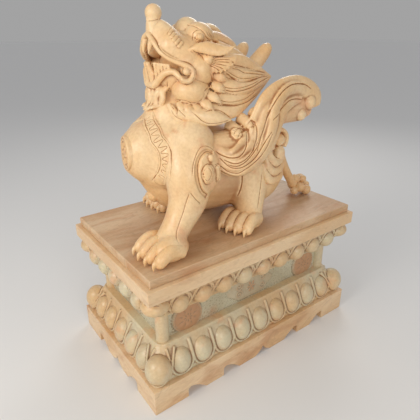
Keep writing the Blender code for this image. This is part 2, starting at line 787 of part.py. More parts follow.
def panel_reliefs():
    """A disc at either end of each long panel, and a lobed boss in the middle of every panel."""
    bm = bmesh.new()
    middle = (LOWER_LOTUS_TOP + WAIST_TOP) / 2
    face_x = HALF_X - WAIST_INSET
    face_y = HALF_Y - WAIST_INSET
    end = face_y - COLONNETTE_RADIUS - MEDALLION_FROM_COLONNETTE - MEDALLION_RADIUS
    for sign in (1, -1):
        for y in (end, -end):
            flat = Matrix.Rotation(math.radians(90), 4, "Y")
            bmesh.ops.create_cone(
                bm,
                cap_ends=True,
                segments=20,
                radius1=MEDALLION_RADIUS,
                radius2=MEDALLION_RADIUS,
                depth=2 * PANEL_RELIEF,
                matrix=Matrix.Translation((sign * face_x, y, middle)) @ flat,
            )
        for centre, radii in (
            ((sign * face_x, 0, middle), (PANEL_RELIEF, BOSS_SHARE * face_y, BOSS_HALF_HEIGHT)),
            ((0, sign * face_y, middle), (BOSS_SHARE * 2 * face_x, PANEL_RELIEF, BOSS_HALF_HEIGHT)),
        ):
            place = Matrix.Translation(centre) @ Matrix.Diagonal((*radii, 1))
            bmesh.ops.create_uvsphere(bm, u_segments=14, v_segments=6, radius=1, matrix=place)
    return bm


def main():
    clear_scene()
    parts = new_collection("marble_pixiu_statue")
    cutters = new_collection("cutters")
    make_pedestal(parts, cutters)
    make_pixiu(parts, cutters)


main()
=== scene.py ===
"""The marble pixiu and its lotus plinth, carved finely, for the photograph's view and for all others."""

import math

import bmesh
import bpy
import numpy as np
from mathutils import Matrix, Vector
from mathutils.bvhtree import BVHTree
from mathutils.kdtree import KDTree


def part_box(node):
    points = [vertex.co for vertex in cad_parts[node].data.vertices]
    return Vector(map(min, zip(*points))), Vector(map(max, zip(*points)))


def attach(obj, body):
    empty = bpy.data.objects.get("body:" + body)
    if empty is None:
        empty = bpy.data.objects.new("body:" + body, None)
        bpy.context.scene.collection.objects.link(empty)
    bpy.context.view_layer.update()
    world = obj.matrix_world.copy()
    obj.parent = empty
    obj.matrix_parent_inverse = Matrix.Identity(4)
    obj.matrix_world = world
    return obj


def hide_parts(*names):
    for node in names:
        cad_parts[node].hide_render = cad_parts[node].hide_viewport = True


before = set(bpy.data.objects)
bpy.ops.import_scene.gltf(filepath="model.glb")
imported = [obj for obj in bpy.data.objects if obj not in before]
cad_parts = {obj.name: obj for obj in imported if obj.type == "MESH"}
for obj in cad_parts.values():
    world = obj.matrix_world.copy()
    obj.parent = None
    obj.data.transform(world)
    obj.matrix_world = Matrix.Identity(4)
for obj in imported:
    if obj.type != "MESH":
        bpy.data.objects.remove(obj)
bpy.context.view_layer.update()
_, beast_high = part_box("pixiu")

# The plinth's courses, in metres, as the solids have them
CAP_LENGTH = 0.930
CAP_WIDTH = 0.555
FOOT_OVERHANG = 0.003
FOOT_HEIGHT = 0.093
LOWER_LOTUS_TOP = 0.197
WAIST_TOP = 0.323
CAP_BOTTOM = 0.417
CAP_TOP = 0.464
SLAB_TOP = 0.494
SLAB_INSET = 0.015
BED_GAP = 0.0003
WAIST_INSET = 0.084
HALF_X = CAP_WIDTH / 2
HALF_Y = CAP_LENGTH / 2
UNIT = (beast_high.z - SLAB_TOP) / 75.9

# The photograph's camera
AZIMUTH = math.radians(53.1593)
ELEVATION = math.radians(24.0593)
LENS = 34.929
SENSOR_WIDTH = 36
EYE = Vector((1.12336, -0.88402, 1.13476))
BACK = Vector(
    (math.sin(AZIMUTH) * math.cos(ELEVATION), -math.cos(AZIMUTH) * math.cos(ELEVATION), math.sin(ELEVATION))
)
RIGHT = Vector((math.cos(AZIMUTH), math.sin(AZIMUTH), 0))
UP = BACK.cross(RIGHT)
FRAME_PIXELS = 420
LEAP = 0.07

# The coin on the chest, in figure units
COIN = (-0.9, -38.9, 31.0)
COIN_FACING = (-0.24, -0.97, 0.0)
COIN_RADIUS = 5.9

# How far forward the two forelegs stand
NEAR_REACH = 14
FAR_REACH = -8.2

# The foot course's cut-outs, in metres: an arch in the middle of each side, and lobes towards its ends
APRON_HEIGHT = 0.039
ARCH_HALF_WIDTH = 0.037
LOBE_WIDTH = 0.074
LOBE_PITCH = 0.151
LOBE_FROM_END = 0.127
RECESS_DEPTH = 0.030
PAST_FACE = 0.01

# The panels, in metres: their discs, the spacing of their points and how low their ground is
DISC_PLACE = 0.2845
DISC_RADIUS = 0.0585
PANEL_CELL = 0.0021
PANEL_DEPTH = 0.02
GROUND_HEIGHT = 0.0008

# The cells that the other pieces are fused with, the fillet where limbs meet, and the band of painted
# highlight along the block edges, in metres
FINE_CELL = 0.0022
WING_CELL = 0.0024
BODY_CELL = 0.0034
BODY_FILLET = 0.014
EDGE_HIGHLIGHT_BAND = 0.0035

# The most triangles of each dense piece
HEAD_TRIANGLES = 190000
BODY_TRIANGLES = 150000
SMALL_TRIANGLES = 120000
BELT_TRIANGLES = 115000


# Closed forms, in figure units: x to the left flank, -y to the face, z up from the slab


def smooth_rows(rows, steps):
    """Catmull-Rom steps between rows of numbers."""
    rows = np.array(rows, float)
    rows = np.vstack([2 * rows[0] - rows[1], rows, 2 * rows[-1] - rows[-2]])
    found = []
    for a, b, c, d in zip(rows, rows[1:], rows[2:], rows[3:]):
        for step in range(steps):
            t = step / steps
            curve = (2 * a - 5 * b + 4 * c - d) * t * t + (3 * b - a - 3 * c + d) * t**3
            found.append(0.5 * (2 * b + (c - a) * t + curve))
    found.append(rows[-2])
    return np.array(found)


def skin(bm, rings):
    """Joins rings of points into one closed surface."""
    rings = [[bm.verts.new(Vector(point)) for point in ring] for ring in rings]
    for low, high in zip(rings, rings[1:]):
        for index in range(len(low)):
            other = (index + 1) % len(low)
            bm.faces.new((low[index], low[other], high[other], high[index]))
    bm.faces.new(rings[0][::-1])
    bm.faces.new(rings[-1])


def limb(bm, stations, out=(1, 0, 0), steps=6, sides=20, least=0.12):
    """A closed loft along rows of (x, y, z, half width, half depth). The depth lies along out."""
    rows = smooth_rows(stations, steps)
    rings = []
    for index, row in enumerate(rows):
        before = rows[max(index - 1, 0)]
        after = rows[min(index + 1, len(rows) - 1)]
        along = Vector(after[:3] - before[:3]).normalized()
        depth = Vector(out) - along * along.dot(Vector(out))
        depth.normalize()
        width = along.cross(depth)
        half_width, half_depth = max(row[3], least), max(row[4], least)
        ring = []
        for side in range(sides):
            turn = math.tau * side / sides
            offset = width * math.cos(turn) * half_width + depth * math.sin(turn) * half_depth
            ring.append(Vector(row[:3]) + offset)
        rings.append(ring)
    skin(bm, rings)


def ball(bm, centre, radii, pitch=0.0, fineness=4):
    shape = Matrix.Rotation(math.radians(pitch), 4, "X") @ Matrix.Diagonal((*radii, 1))
    bmesh.ops.create_icosphere(bm, subdivisions=fineness, radius=1, matrix=Matrix.Translation(centre) @ shape)


def add_copy(bm, part, sign=1):
    """Adds the part's faces, mirrored across x = 0 where sign is -1."""
    copies = {vert: bm.verts.new((sign * vert.co.x, vert.co.y, vert.co.z)) for vert in part.verts}
    for face in part.faces:
        bm.faces.new([copies[vert] for vert in face.verts][::sign])


def mirrored(bm, build):
    near = bmesh.new()
    build(near)
    for sign in (1, -1):
        add_copy(bm, near, sign)
    near.free()


def vault(bm, sections, roof, steps=5):
    """A half round snout or jaw, with the flat side hollowed by roof.

    A section is its lip's x, y and z, its crown's y and z, and its fullness.
    """
    rings = []
    for lip_x, lip_y, lip_z, crown_y, crown_z, full in smooth_rows(sections, steps):
        ring = []
        lip, crown = np.array((0, lip_y, lip_z)), np.array((0, crown_y, crown_z))
        for step in range(25):
            angle = math.pi * step / 24
            across = math.copysign(abs(math.cos(angle)) ** full, math.cos(angle))
            ring.append(lip + (crown - lip) * math.sin(angle) ** full + np.array((lip_x * across, 0, 0)))
        for step in range(1, 8):
            angle = math.pi * step / 8
            across = np.array((lip_x * math.cos(angle), 0, 0))
            ring.append(lip + (crown - lip) * roof * math.sin(angle) - across)
        rings.append(ring)
    skin(bm, rings)


def torso(bm):
    limb(bm, (
        (0, -30, 28, 9, 10), (0, -20, 24, 14.5, 16.5), (0, -8, 20.5, 17, 16), (0, 6, 20, 17, 15.5),
        (0, 15, 20.5, 15.5, 15), (0, 23.5, 21, 11, 12), (0, 28.5, 20, 5, 7),
    ), out=(0, 0, 1), sides=32)
    ball(bm, (0, -24.2, 29.4), (14.4, 13.6, 14.4), fineness=5)
    limb(bm, (
        (0, -22, 29.4, 14, 14), (-0.2, -28.5, 30.2, 12.4, 12.6), (-0.6, -34.6, 30.8, 9.4, 9.8),
        (-1.2, -38.6, 31.2, 6, 6.2),
    ), out=(0, 0, 1), sides=32)
    limb(bm, (
        (0, -22, 33, 12.4, 12.4), (0, -20.2, 40.5, 10.6, 10.2), (0, -18, 44.2, 9.4, 8.6),
        (0, -16.6, 48.5, 9, 8.4), (0, -15, 56, 9, 9),
    ), out=(0, -1, 0), sides=32)
    ball(bm, (0, -9, 30.5), (14, 15, 9), fineness=5)


def coin(bm):
    places = [Vector(COIN) + Vector(COIN_FACING) * step for step in (-2.4, -0.45, 0.25, 0.45)]
    sizes = (COIN_RADIUS, COIN_RADIUS, COIN_RADIUS - 0.1, COIN_RADIUS - 0.4)
    rows = [(*place, size, size) for place, size in zip(places, sizes)]
    limb(bm, rows, out=(0, 0, 1), steps=1, sides=48)


def skull(bm):
    ball(bm, (0, -13.5, 60), (10.5, 9.5, 9.5), fineness=5)
    vault(bm, (
        (1.7, -28.5, 67.4, -27.4, 70.4, 0.85), (4.2, -28, 64.8, -25.4, 71.4, 0.8),
        (6.4, -27, 62.4, -23.4, 71.2, 0.8), (8.8, -25, 60.3, -21, 69.5, 0.8),
        (11, -22.4, 58.9, -18.4, 67.6, 0.8), (11.8, -19.6, 57.8, -15, 68, 0.8),
        (11.4, -16, 56.4, -12, 69, 0.8),
    ), roof=0.22)
    ball(bm, (0, -26.2, 73.2), (2.6, 2.6, 2.6))
    limb(bm, (
        (0, -26.6, 67.6, 2.6, 2.2), (0, -26.5, 70, 2.25, 2.2), (0, -26.3, 72, 2.2, 2.2),
    ), out=(0, -1, 0))
    ball(bm, (0, -13.9, 67.4), (4.6, 4.7, 4.9), fineness=5)


def face_side(bm):
    ball(bm, (4.8, -12.8, 66.4), (5, 4.7, 4.4), fineness=5)
    ball(bm, (4.6, -22.8, 64), (4, 4.2, 4.2))
    ball(bm, (9.2, -16, 56.6), (5.2, 5, 5.4), fineness=5)
    ball(bm, (8.2, -18.6, 50.6), (6.2, 6.2, 5), fineness=5)
    ball(bm, (9.5, -15.6, 66.3), (1, 1.5, 1.1))


def mouth_side(bm):
    upper_lip = (
        (0, -28.5, 67.3, 0.9, 0.8), (2, -28.7, 66.3, 0.85, 0.8), (4, -28.3, 64.2, 0.8, 0.8),
        (6, -27.6, 62.1, 0.8, 0.8), (8.6, -25.4, 60.1, 0.8, 0.85), (10.9, -22.8, 58.7, 0.85, 0.9),
        (12.4, -21, 57.5, 0.85, 0.95), (13, -20.8, 55.7, 0.85, 0.95), (12.9, -22, 54.2, 0.8, 0.9),
        (12.2, -23.4, 54.1, 0.75, 0.85), (11.6, -24.4, 54.9, 0.6, 0.7),
    )
    limb(bm, upper_lip, sides=14)
    lower_lip = (
        (0, -28.3, 52.2, 1.2, 1.1), (2, -28.3, 52.3, 1.2, 1.1), (4, -27.6, 54.2, 1.1, 1.05),
        (6, -26.7, 56, 1, 1), (8, -25.2, 56.6, 0.95, 1), (9.8, -24.6, 56, 0.9, 0.9),
        (11.2, -24.3, 54.9, 0.7, 0.8),
    )
    limb(bm, lower_lip, sides=14)
    ball(bm, (12.1, -22.5, 56.8), (1.2, 1.2, 1.2))
    limb(bm, ((7.5, -19, 57, 3, 4), (10.6, -21, 56.6, 2.2, 2.4)), out=(0, 0, 1))
    fang = ((1.8, -27.6, 66.2, 1.3, 1.2), (1.9, -28.8, 64.4, 1, 0.95), (1.7, -29.6, 61.4, 0.15, 0.15))
    limb(bm, fang, sides=12)
    tusk = ((1.2, -27.9, 53.4, 1.35, 1.2), (0.9, -28.6, 56.4, 1.15, 1), (0.7, -29.6, 59.2, 0.75, 0.45))
    limb(bm, tusk, sides=12)
    for tooth in range(5):
        share = tooth / 4
        foot = (3 + 4 * share, -27.6 + 2.2 * share, 54.2 + 2.4 * share)
        edge = (2.7 + 4.3 * share, -28.2 + 2.2 * share, 59.2 - 0.3 * share)
        limb(bm, ((*foot, 0.72, 0.75), (*edge, 0.62, 0.55)), sides=12)
        ball(bm, (4.6 + 4 * share, -27.4 + 2.9 * share, 62.6 - 2.6 * share), (0.62, 0.62, 1.2), fineness=3)


def jaw(bm):
    vault(bm, (
        (1.4, -27.8, 53.4, -27.4, 50.9, 0.85), (4, -27, 54.2, -25.8, 49.8, 0.85),
        (6.2, -25.7, 55.6, -23.8, 48.7, 0.85), (8.4, -24.2, 56.2, -21.4, 47.6, 0.85),
        (10.4, -22.6, 55.6, -19, 46.8, 0.85), (11, -20, 55.2, -16.6, 46, 0.85),
    ), roof=0.18)
    limb(bm, (
        (0, -19, 55, 3.2, 1.3), (0, -24, 55.8, 2.9, 1.2), (0, -26.6, 57.2, 2, 0.9),
        (0, -27.6, 58.4, 0.9, 0.6),
    ), out=(0, 0, 1))


def beard(bm):
    for strand in range(6):
        x = (strand - 2.5) * 1.75
        back = 0.34 * abs(x) + 0.5 * (strand % 2)
        sway = 0.4 * math.sin(2.1 * strand)
        tip = 0.4 * abs(strand - 2.5)
        limb(bm, (
            (x, -26.4 + back, 52, 0.8, 1.1), (x + sway, -28.4 + back, 50.4, 0.95, 1.2),
            (x * 0.95 - sway, -29 + back, 48, 0.95, 1.2),
            (x * 0.82 + sway, -29.3 + back, 46, 0.8, 1.05),
            (x * 0.68, -30.7 + 0.6 * back, 44.7 + tip, 0.5, 0.6),
            (x * 0.62, -31.8 + 0.6 * back, 44.1 + tip, 0.15, 0.2),
        ), sides=14)


def ear(bm):
    limb(bm, (
        (9.8, -20, 62.6, 0.4, 0.9), (11.9, -18, 63.4, 1.4, 1), (13.6, -15.6, 63.4, 2, 1),
        (15.2, -12.8, 62.8, 1.9, 0.8), (16.4, -10.4, 62.8, 1.2, 0.55), (17.5, -8, 63.8, 0.12, 0.15),
    ), out=(1, -0.4, 0.5), sides=20)
    ball(bm, (13.4, -15, 60), (1.5, 1.5, 1.5))
    ball(bm, (12.2, -14.8, 60), (2, 2.2, 2.2))
    fan = (
        (13.9, -13.6, 56.2), (15.2, -11.2, 56.3), (16, -8.8, 57.4), (16.4, -6.8, 59.4), (16.4, -6.8, 61.2),
    )
    for tip in smooth_rows(fan, 2)[:-1]:
        middle = Vector((13.2, -14.2, 60)).lerp(Vector(tip), 0.55)
        limb(bm, ((12.4, -14.6, 60.2, 0.3, 0.9), (*middle, 0.6, 1), (*tip, 0.78, 0.6)), sides=12)


def horn(bm):
    limb(bm, (
        (4.5, 4, 52, 3.2, 3.2), (5.3, 10.4, 56.2, 2.9, 2.9), (6, 14.4, 60.2, 2.6, 2.6),
        (6.3, 16.5, 62.5, 2, 2), (6.4, 17.3, 63.7, 0.9, 0.9),
    ), sides=24)


def crest(bm):
    limb(bm, (
        (0, -9, 68.5, 3.6, 1.6), (0, -4.6, 68.8, 2.9, 1.5), (0, -0.8, 66.2, 2.2, 1.2),
        (0, 1.4, 62.6, 0.3, 0.3),
    ), out=(0, 0.6, 1))
    ball(bm, (0, -5, 58), (10, 9, 9), fineness=5)


def crest_side(bm):
    limb(bm, (
        (4.8, -9, 66.5, 3, 1.8), (5.6, -4.6, 65.8, 2.6, 1.7), (6, 0.2, 63.4, 2, 1.4),
        (5.8, 4, 60, 0.4, 0.4),
    ), out=(0.5, 0.5, 1))
    limb(bm, (
        (8.6, -8.4, 63.6, 2.2, 1.6), (9.2, -4, 62, 2.2, 1.6), (9.4, 1, 60.2, 1.6, 1.2),
        (9, 5.2, 58.2, 0.3, 0.3),
    ), out=(1, 0.3, 0.8))


MANE_TIP = (12.4, 13.2, 53.2)


def mane_side(bm):
    limb(bm, (
        (6, -14, 52, 8, 5.6), (8.2, -6, 51.8, 8.6, 5.6), (9.8, 2, 51.8, 7, 4.6),
        (11, 8.6, 52.6, 3.8, 2.6), (12.2, 13.2, 53.4, 0.3, 0.3),
    ), sides=28)
    locks = (
        ((10.2, -7, 59.4), (12.2, -0.6, 58.4), (12.8, 5.6, 56), 2.5),
        ((12, -9.6, 56.6), (13.8, -2.2, 54.6), (13.6, 5.4, 53.8), 2.6),
        ((13, -11.4, 52.8), (14.8, -4, 50.6), (14.2, 4.6, 51.6), 2.6),
        ((13.2, -13, 48.6), (14.8, -5.4, 46.9), (14, 3.4, 49), 2.4),
        ((13.4, -15, 45.4), (15.6, -8.2, 43.4), (14.8, 0.6, 46.4), 2.3),
    )
    for root, middle, after, half in locks:
        limb(bm, (
            (*root, half * 0.8, 1.5), (*middle, half, 1.7), (*after, half * 0.66, 1.4),
            (*MANE_TIP, 0.3, 0.3),
        ), sides=16)
    limb(bm, (
        (9, -24, 44, 1.8, 2.4), (13, -19.5, 43, 2.7, 2.2), (16.2, -14.5, 42.3, 2.4, 1.6),
        (18.2, -9.2, 41.5, 0.15, 0.2),
    ), out=(1, -0.3, 0.1))
    front_lock = (
        (6.4, -25.9, 46.8, 0.9, 1.1), (8.4, -24.6, 43.4, 1.6, 1.3), (10.4, -22.5, 40.5, 1.2, 1.1),
        (12.3, -20.6, 38.2, 0.12, 0.15),
    )
    limb(bm, front_lock, out=(1, -0.6, 0), sides=14)


def tufts(bm):
    """Pointed locks of fur round the back of the cheek."""
    tips = (
        ((12.2, -12.2, 57.4), (14.6, -7.6, 57.6)),
        ((12.6, -12.6, 55.4), (15, -8.6, 53.6)),
        ((12.8, -13.6, 52.6), (15.6, -9.6, 49.8)),
        ((12.8, -15.2, 49.8), (16.2, -11.9, 46.6)),
        ((12.2, -17.4, 47.8), (16.2, -15, 44.4)),
        ((11.2, -19.6, 46.6), (15, -18.4, 42.5)),
        ((10.2, -21.8, 46.8), (13.2, -21.6, 42.8)),
        ((8.8, -23.4, 47.2), (10.9, -23.4, 43.2)),
    )
    for root, tip in tips:
        root, tip = Vector(root), Vector(tip)
        middle = root.lerp(tip, 0.45) + Vector((0.7, 0, 0))
        limb(bm, ((*root, 1.3, 0.9), (*middle, 1.5, 1), (*tip, 0.12, 0.12)), sides=12)


def paw(bm, x, y, turn, spread, toes=4):
    """A clawed paw on the slab. x, y is the middle of its knuckles, turned outward by turn degrees."""
    facing = Vector((math.sin(math.radians(turn)), -math.cos(math.radians(turn)), 0))
    across = Vector((-facing.y, facing.x, 0))
    middle = Vector((x, y, 0))
    for toe in range(toes):
        share = toe / (toes - 1) - 0.5
        place = middle + across * spread * share - facing * 2.6 * share * share
        knuckle = place + Vector((0, 0, 4.7))
        tip = place + facing * 4 + Vector((0, 0, 2.6))
        claw = place + facing * 6.6 + Vector((0, 0, 0.3))
        heel = place - facing * 5 + Vector((0, 0, 3.4))
        end = tip + facing * 1.3 + Vector((0, 0, -0.3))
        limb(bm, ((*heel, 1.9, 2.4), (*knuckle, 2, 2.5), (*tip, 1.95, 2.2), (*end, 1.3, 1.6)), out=(0, 0, 1))
        ball(bm, knuckle + facing * 0.6, (2, 2.1, 2.3), fineness=3)
        ball(bm, tip + Vector((0, 0, -0.2)), (1.95, 1.9, 2.1), fineness=3)
        root = tip + facing * 0.6 + Vector((0, 0, 0.6))
        bend = tip + facing * 2 + Vector((0, 0, -0.2))
        limb(bm, ((*root, 0.9, 1), (*bend, 0.75, 0.9), (*claw, 0.15, 0.2)), out=(0, 0, 1), sides=12)


def foreleg(bm, x, reach):
    limb(bm, (
        (10 * x, -19.6 - 0.10 * reach, 36, 8, 6), (14.6 * x, -20.5 - 0.25 * reach, 26, 8.4, 7.2),
        (16 * x, -19.5 - 0.45 * reach, 17, 6.9, 6.2), (16.8 * x, -20 - 0.70 * reach, 10.5, 5.2, 5),
        (17.4 * x, -20.5 - 0.95 * reach, 5.6, 4.6, 5), (17.8 * x, -21 - 1.05 * reach, 3.2, 4.2, 6),
    ), sides=32)
    ball(bm, (18 * x, -21.5 - 1.05 * reach, 2.6), (7.4, 5.6, 3.6))
    ball(bm, (21.6 * x, -20.8 - 1.1 * reach, 4), (4.2, 6.2, 4.4), fineness=5)
    ball(bm, (11 * x, -19.5 - 0.1 * reach, 31.5), (8.8, 8.6, 11), fineness=5)


def shoulder_scroll(bm):
    limb(bm, (
        (18, -21.8, 36, 1.6, 0.8), (18.8, -21.5, 33.4, 4.2, 2), (19.2, -21.1, 29.4, 5.5, 2.6),
        (19.2, -20.6, 25, 5.5, 2.6), (18.8, -20, 21, 4.2, 2.2), (18.2, -19.6, 18.2, 1.8, 1),
    ), sides=24)


def hind_leg(bm):
    ball(bm, (11, 8.6, 19), (9.3, 12, 13), pitch=12, fineness=5)
    limb(bm, (
        (14, 2.4, 24, 8.6, 6.5), (15, 2.4, 17, 7.2, 6.4), (15.8, 2.2, 11, 5.9, 5.6),
        (16.2, 1.8, 6.4, 5.2, 5.2), (16.4, 1.4, 3, 5.2, 5.6),
    ), sides=32)
    ball(bm, (16.6, 0.6, 2.6), (6.4, 5.2, 3.6))


def haunch_curls(bm):
    ball(bm, (20.2, 11.4, 32.2), (2, 2.2, 2.1))
    ball(bm, (18.6, 11.4, 32), (1.5, 3.7, 3.6))
    hood = []
    for step in range(10):
        turn = math.radians(225 - 30 * step)
        hood.append((19.2, 11.4 + 3.9 * math.cos(turn), 32 + 3.8 * math.sin(turn), 0.95, 2))
    limb(bm, hood, steps=3, sides=14)
    ball(bm, (20.3, 11.8, 27.2), (2, 2.3, 2.9))
    for index, (drop, length) in enumerate(((26.6, 4.6), (23.2, 5), (19.8, 5))):
        limb(bm, (
            (19.4, 6.2 - 0.9 * index, drop + 4.6, 0.6, 0.9),
            (20.6, 6.6 - 0.7 * index, drop + 0.6, 1.4, 1.4),
            (20.7, 9 - 0.5 * index, drop - 2.2, 1.8, 1.7), (19.8, 8 + length, drop - 1.8, 1.6, 1.5),
            (18.4, 10.4 + length, drop + 1, 0.4, 0.5),
        ), sides=14)
    ball(bm, (16.5, 10.5, 24), (3.2, 4, 8))


def wing_ribs():
    ribs = []
    for index, (end_y, end_z) in enumerate(((-6.6, 37.4), (-3, 38.6), (0.4, 39.4))):
        low = 30.9 - 1.55 * index
        back = 1.9 * index
        ribs.append(
            (
                (14.6 + 0.6 * index, -18.8 + 0.5 * index, 36.2 - 1.7 * index),
                (19.2 + index, -15.6 + 0.5 * index, low + 1.7), (21.6 + 1.2 * index, -12.5 + back / 2, low),
                (21.8 + 1.2 * index, -8.6 + back, low + 1.8),
                (21.6 + 1.2 * index, -6.3 + 1.4 * back, low + 4.6), (20.6 + 1.1 * index, end_y, end_z),
            )
        )
    ribs.append(
        (
            (16.2, -17.4, 31.4), (21.4, -13.8, 27.6), (24, -9.6, 26.2), (24.6, -3.8, 28.4),
            (24.6, 1, 33), (24.4, 3.4, 39), (24, 4.6, 45), (23.2, 9.4, 49.4), (22, 16.2, 50.2),
            (21, 22.5, 48),
        )
    )
    ribs.append(
        (
            (16.2, -16.4, 29.8), (21.4, -12.6, 26.2), (24, -7.6, 26.2), (24.6, -1.6, 29.2),
            (24.4, 3.4, 34), (23.6, 6.8, 39.2), (22.8, 9.8, 43.4), (21.6, 14.8, 45.6), (21, 20, 46),
        )
    )
    return ribs


def wing(bm):
    for rib in wing_ribs():
        limb(bm, [(*point, 2.3, 1.05) for point in rib[:-1]] + [(*rib[-1], 1.6, 0.9)], sides=20)
    for end in ((19.4, -7.4, 37.2), (20.6, -3.4, 39.4), (21.8, 0.8, 41)):
        start = Vector(end) + Vector((-5, -0.2, 1.6))
        limb(bm, ((*start, 2, 2.2), (*end, 2.1, 2.3)), out=(0, 0, 1), sides=24)
        ball(bm, Vector(end) + Vector((0.2, 0, -0.1)), (1.2, 1.7, 1.7))
    blade = (
        (21, -1.5, 40, 3, 1.6), (21.6, 3, 46, 4.2, 1.7), (21.4, 9, 49.2, 4.2, 1.8),
        (20.6, 17, 50.2, 4, 1.9), (20.2, 24, 48.6, 3.8, 1.9), (20, 28.4, 45.6, 3.6, 1.8),
        (20, 29.4, 42.4, 2.6, 1.6),
    )
    limb(bm, blade, sides=24)
    lap = (
        (20.8, -6, 30, 3, 1.9), (22, -3.2, 33, 3.4, 1.9), (22.4, 0.4, 38, 3.6, 1.9),
        (22.2, 3.2, 44, 3.6, 1.8), (21.6, 7.4, 48, 3.4, 1.7),
    )
    limb(bm, lap, sides=24)
    under = (
        (21, 7, 40.5, 3, 1.3), (20.4, 14, 42, 4.2, 1.4), (20.2, 21, 42.4, 4.6, 1.5),
        (20, 26.4, 42.6, 3.4, 1.4),
    )
    limb(bm, under, sides=24)
    ball(bm, (21.2, 24.8, 44.2), (2.2, 2.6, 2.6))
    ball(bm, (21, 20.6, 40.2), (2, 2.2, 2.2))
    web = (
        (11.5, -17, 32.5, 4.6, 6), (15.4, -11, 32, 5.6, 6.2), (17, -4, 33, 5.8, 5.4),
        (18.6, 2.4, 36.5, 4.8, 4), (20.2, 6, 42, 4, 2),
    )
    limb(bm, web, sides=24)


def tail(bm):
    limb(bm, (
        (2.5, 22, 26, 4, 4), (3.6, 27.5, 22, 2.8, 2.8), (4.8, 31.2, 15, 2.1, 2.1),
        (5.8, 34.8, 8.6, 1.9, 1.9), (6.4, 37.6, 5, 2.3, 2.3), (6.8, 41, 3.4, 2.6, 2.6),
    ), sides=24)


def tail_tuft(bm):
    for centre, radius in (
        ((9.2, 38.4, 4.4), 2.1),
        ((6.4, 38, 7.6), 2.2),
        ((7.8, 41.2, 7.4), 1.7),
        ((5.4, 42.2, 6.6), 2.3),
        ((6.4, 44.2, 3.2), 2.5),
        ((9.4, 42.2, 2.6), 2.2),
        ((3.6, 39.8, 4), 2.4),
        ((8, 36.2, 3), 1.8),
    ):
        ball(bm, centre, (radius, radius, radius))
        ball(bm, Vector(centre) + Vector((0.7, 0.2, 0.6)) * radius * 0.75, (radius * 0.45,) * 3)


def bell(bm):
    ball(bm, (0, -29.5, 14.6), (2.6, 2.6, 3))
    limb(bm, ((0, -30.5, 20.5, 1.4, 1.4), (0, -29.8, 17, 1.3, 1.3)), out=(0, -1, 0))
    for side in (-1, 1):
        limb(bm, (
            (1.2 * side, -31, 19.6, 0.9, 1), (3.2 * side, -30.4, 18.2, 1.2, 1.2),
            (4.6 * side, -29, 16.2, 1, 1.1), (4 * side, -29.4, 14, 0.3, 0.4),
        ), out=(0, -1, 0), sides=14)


# Engraved lines: half width and depth in figure units, and their places in the photograph

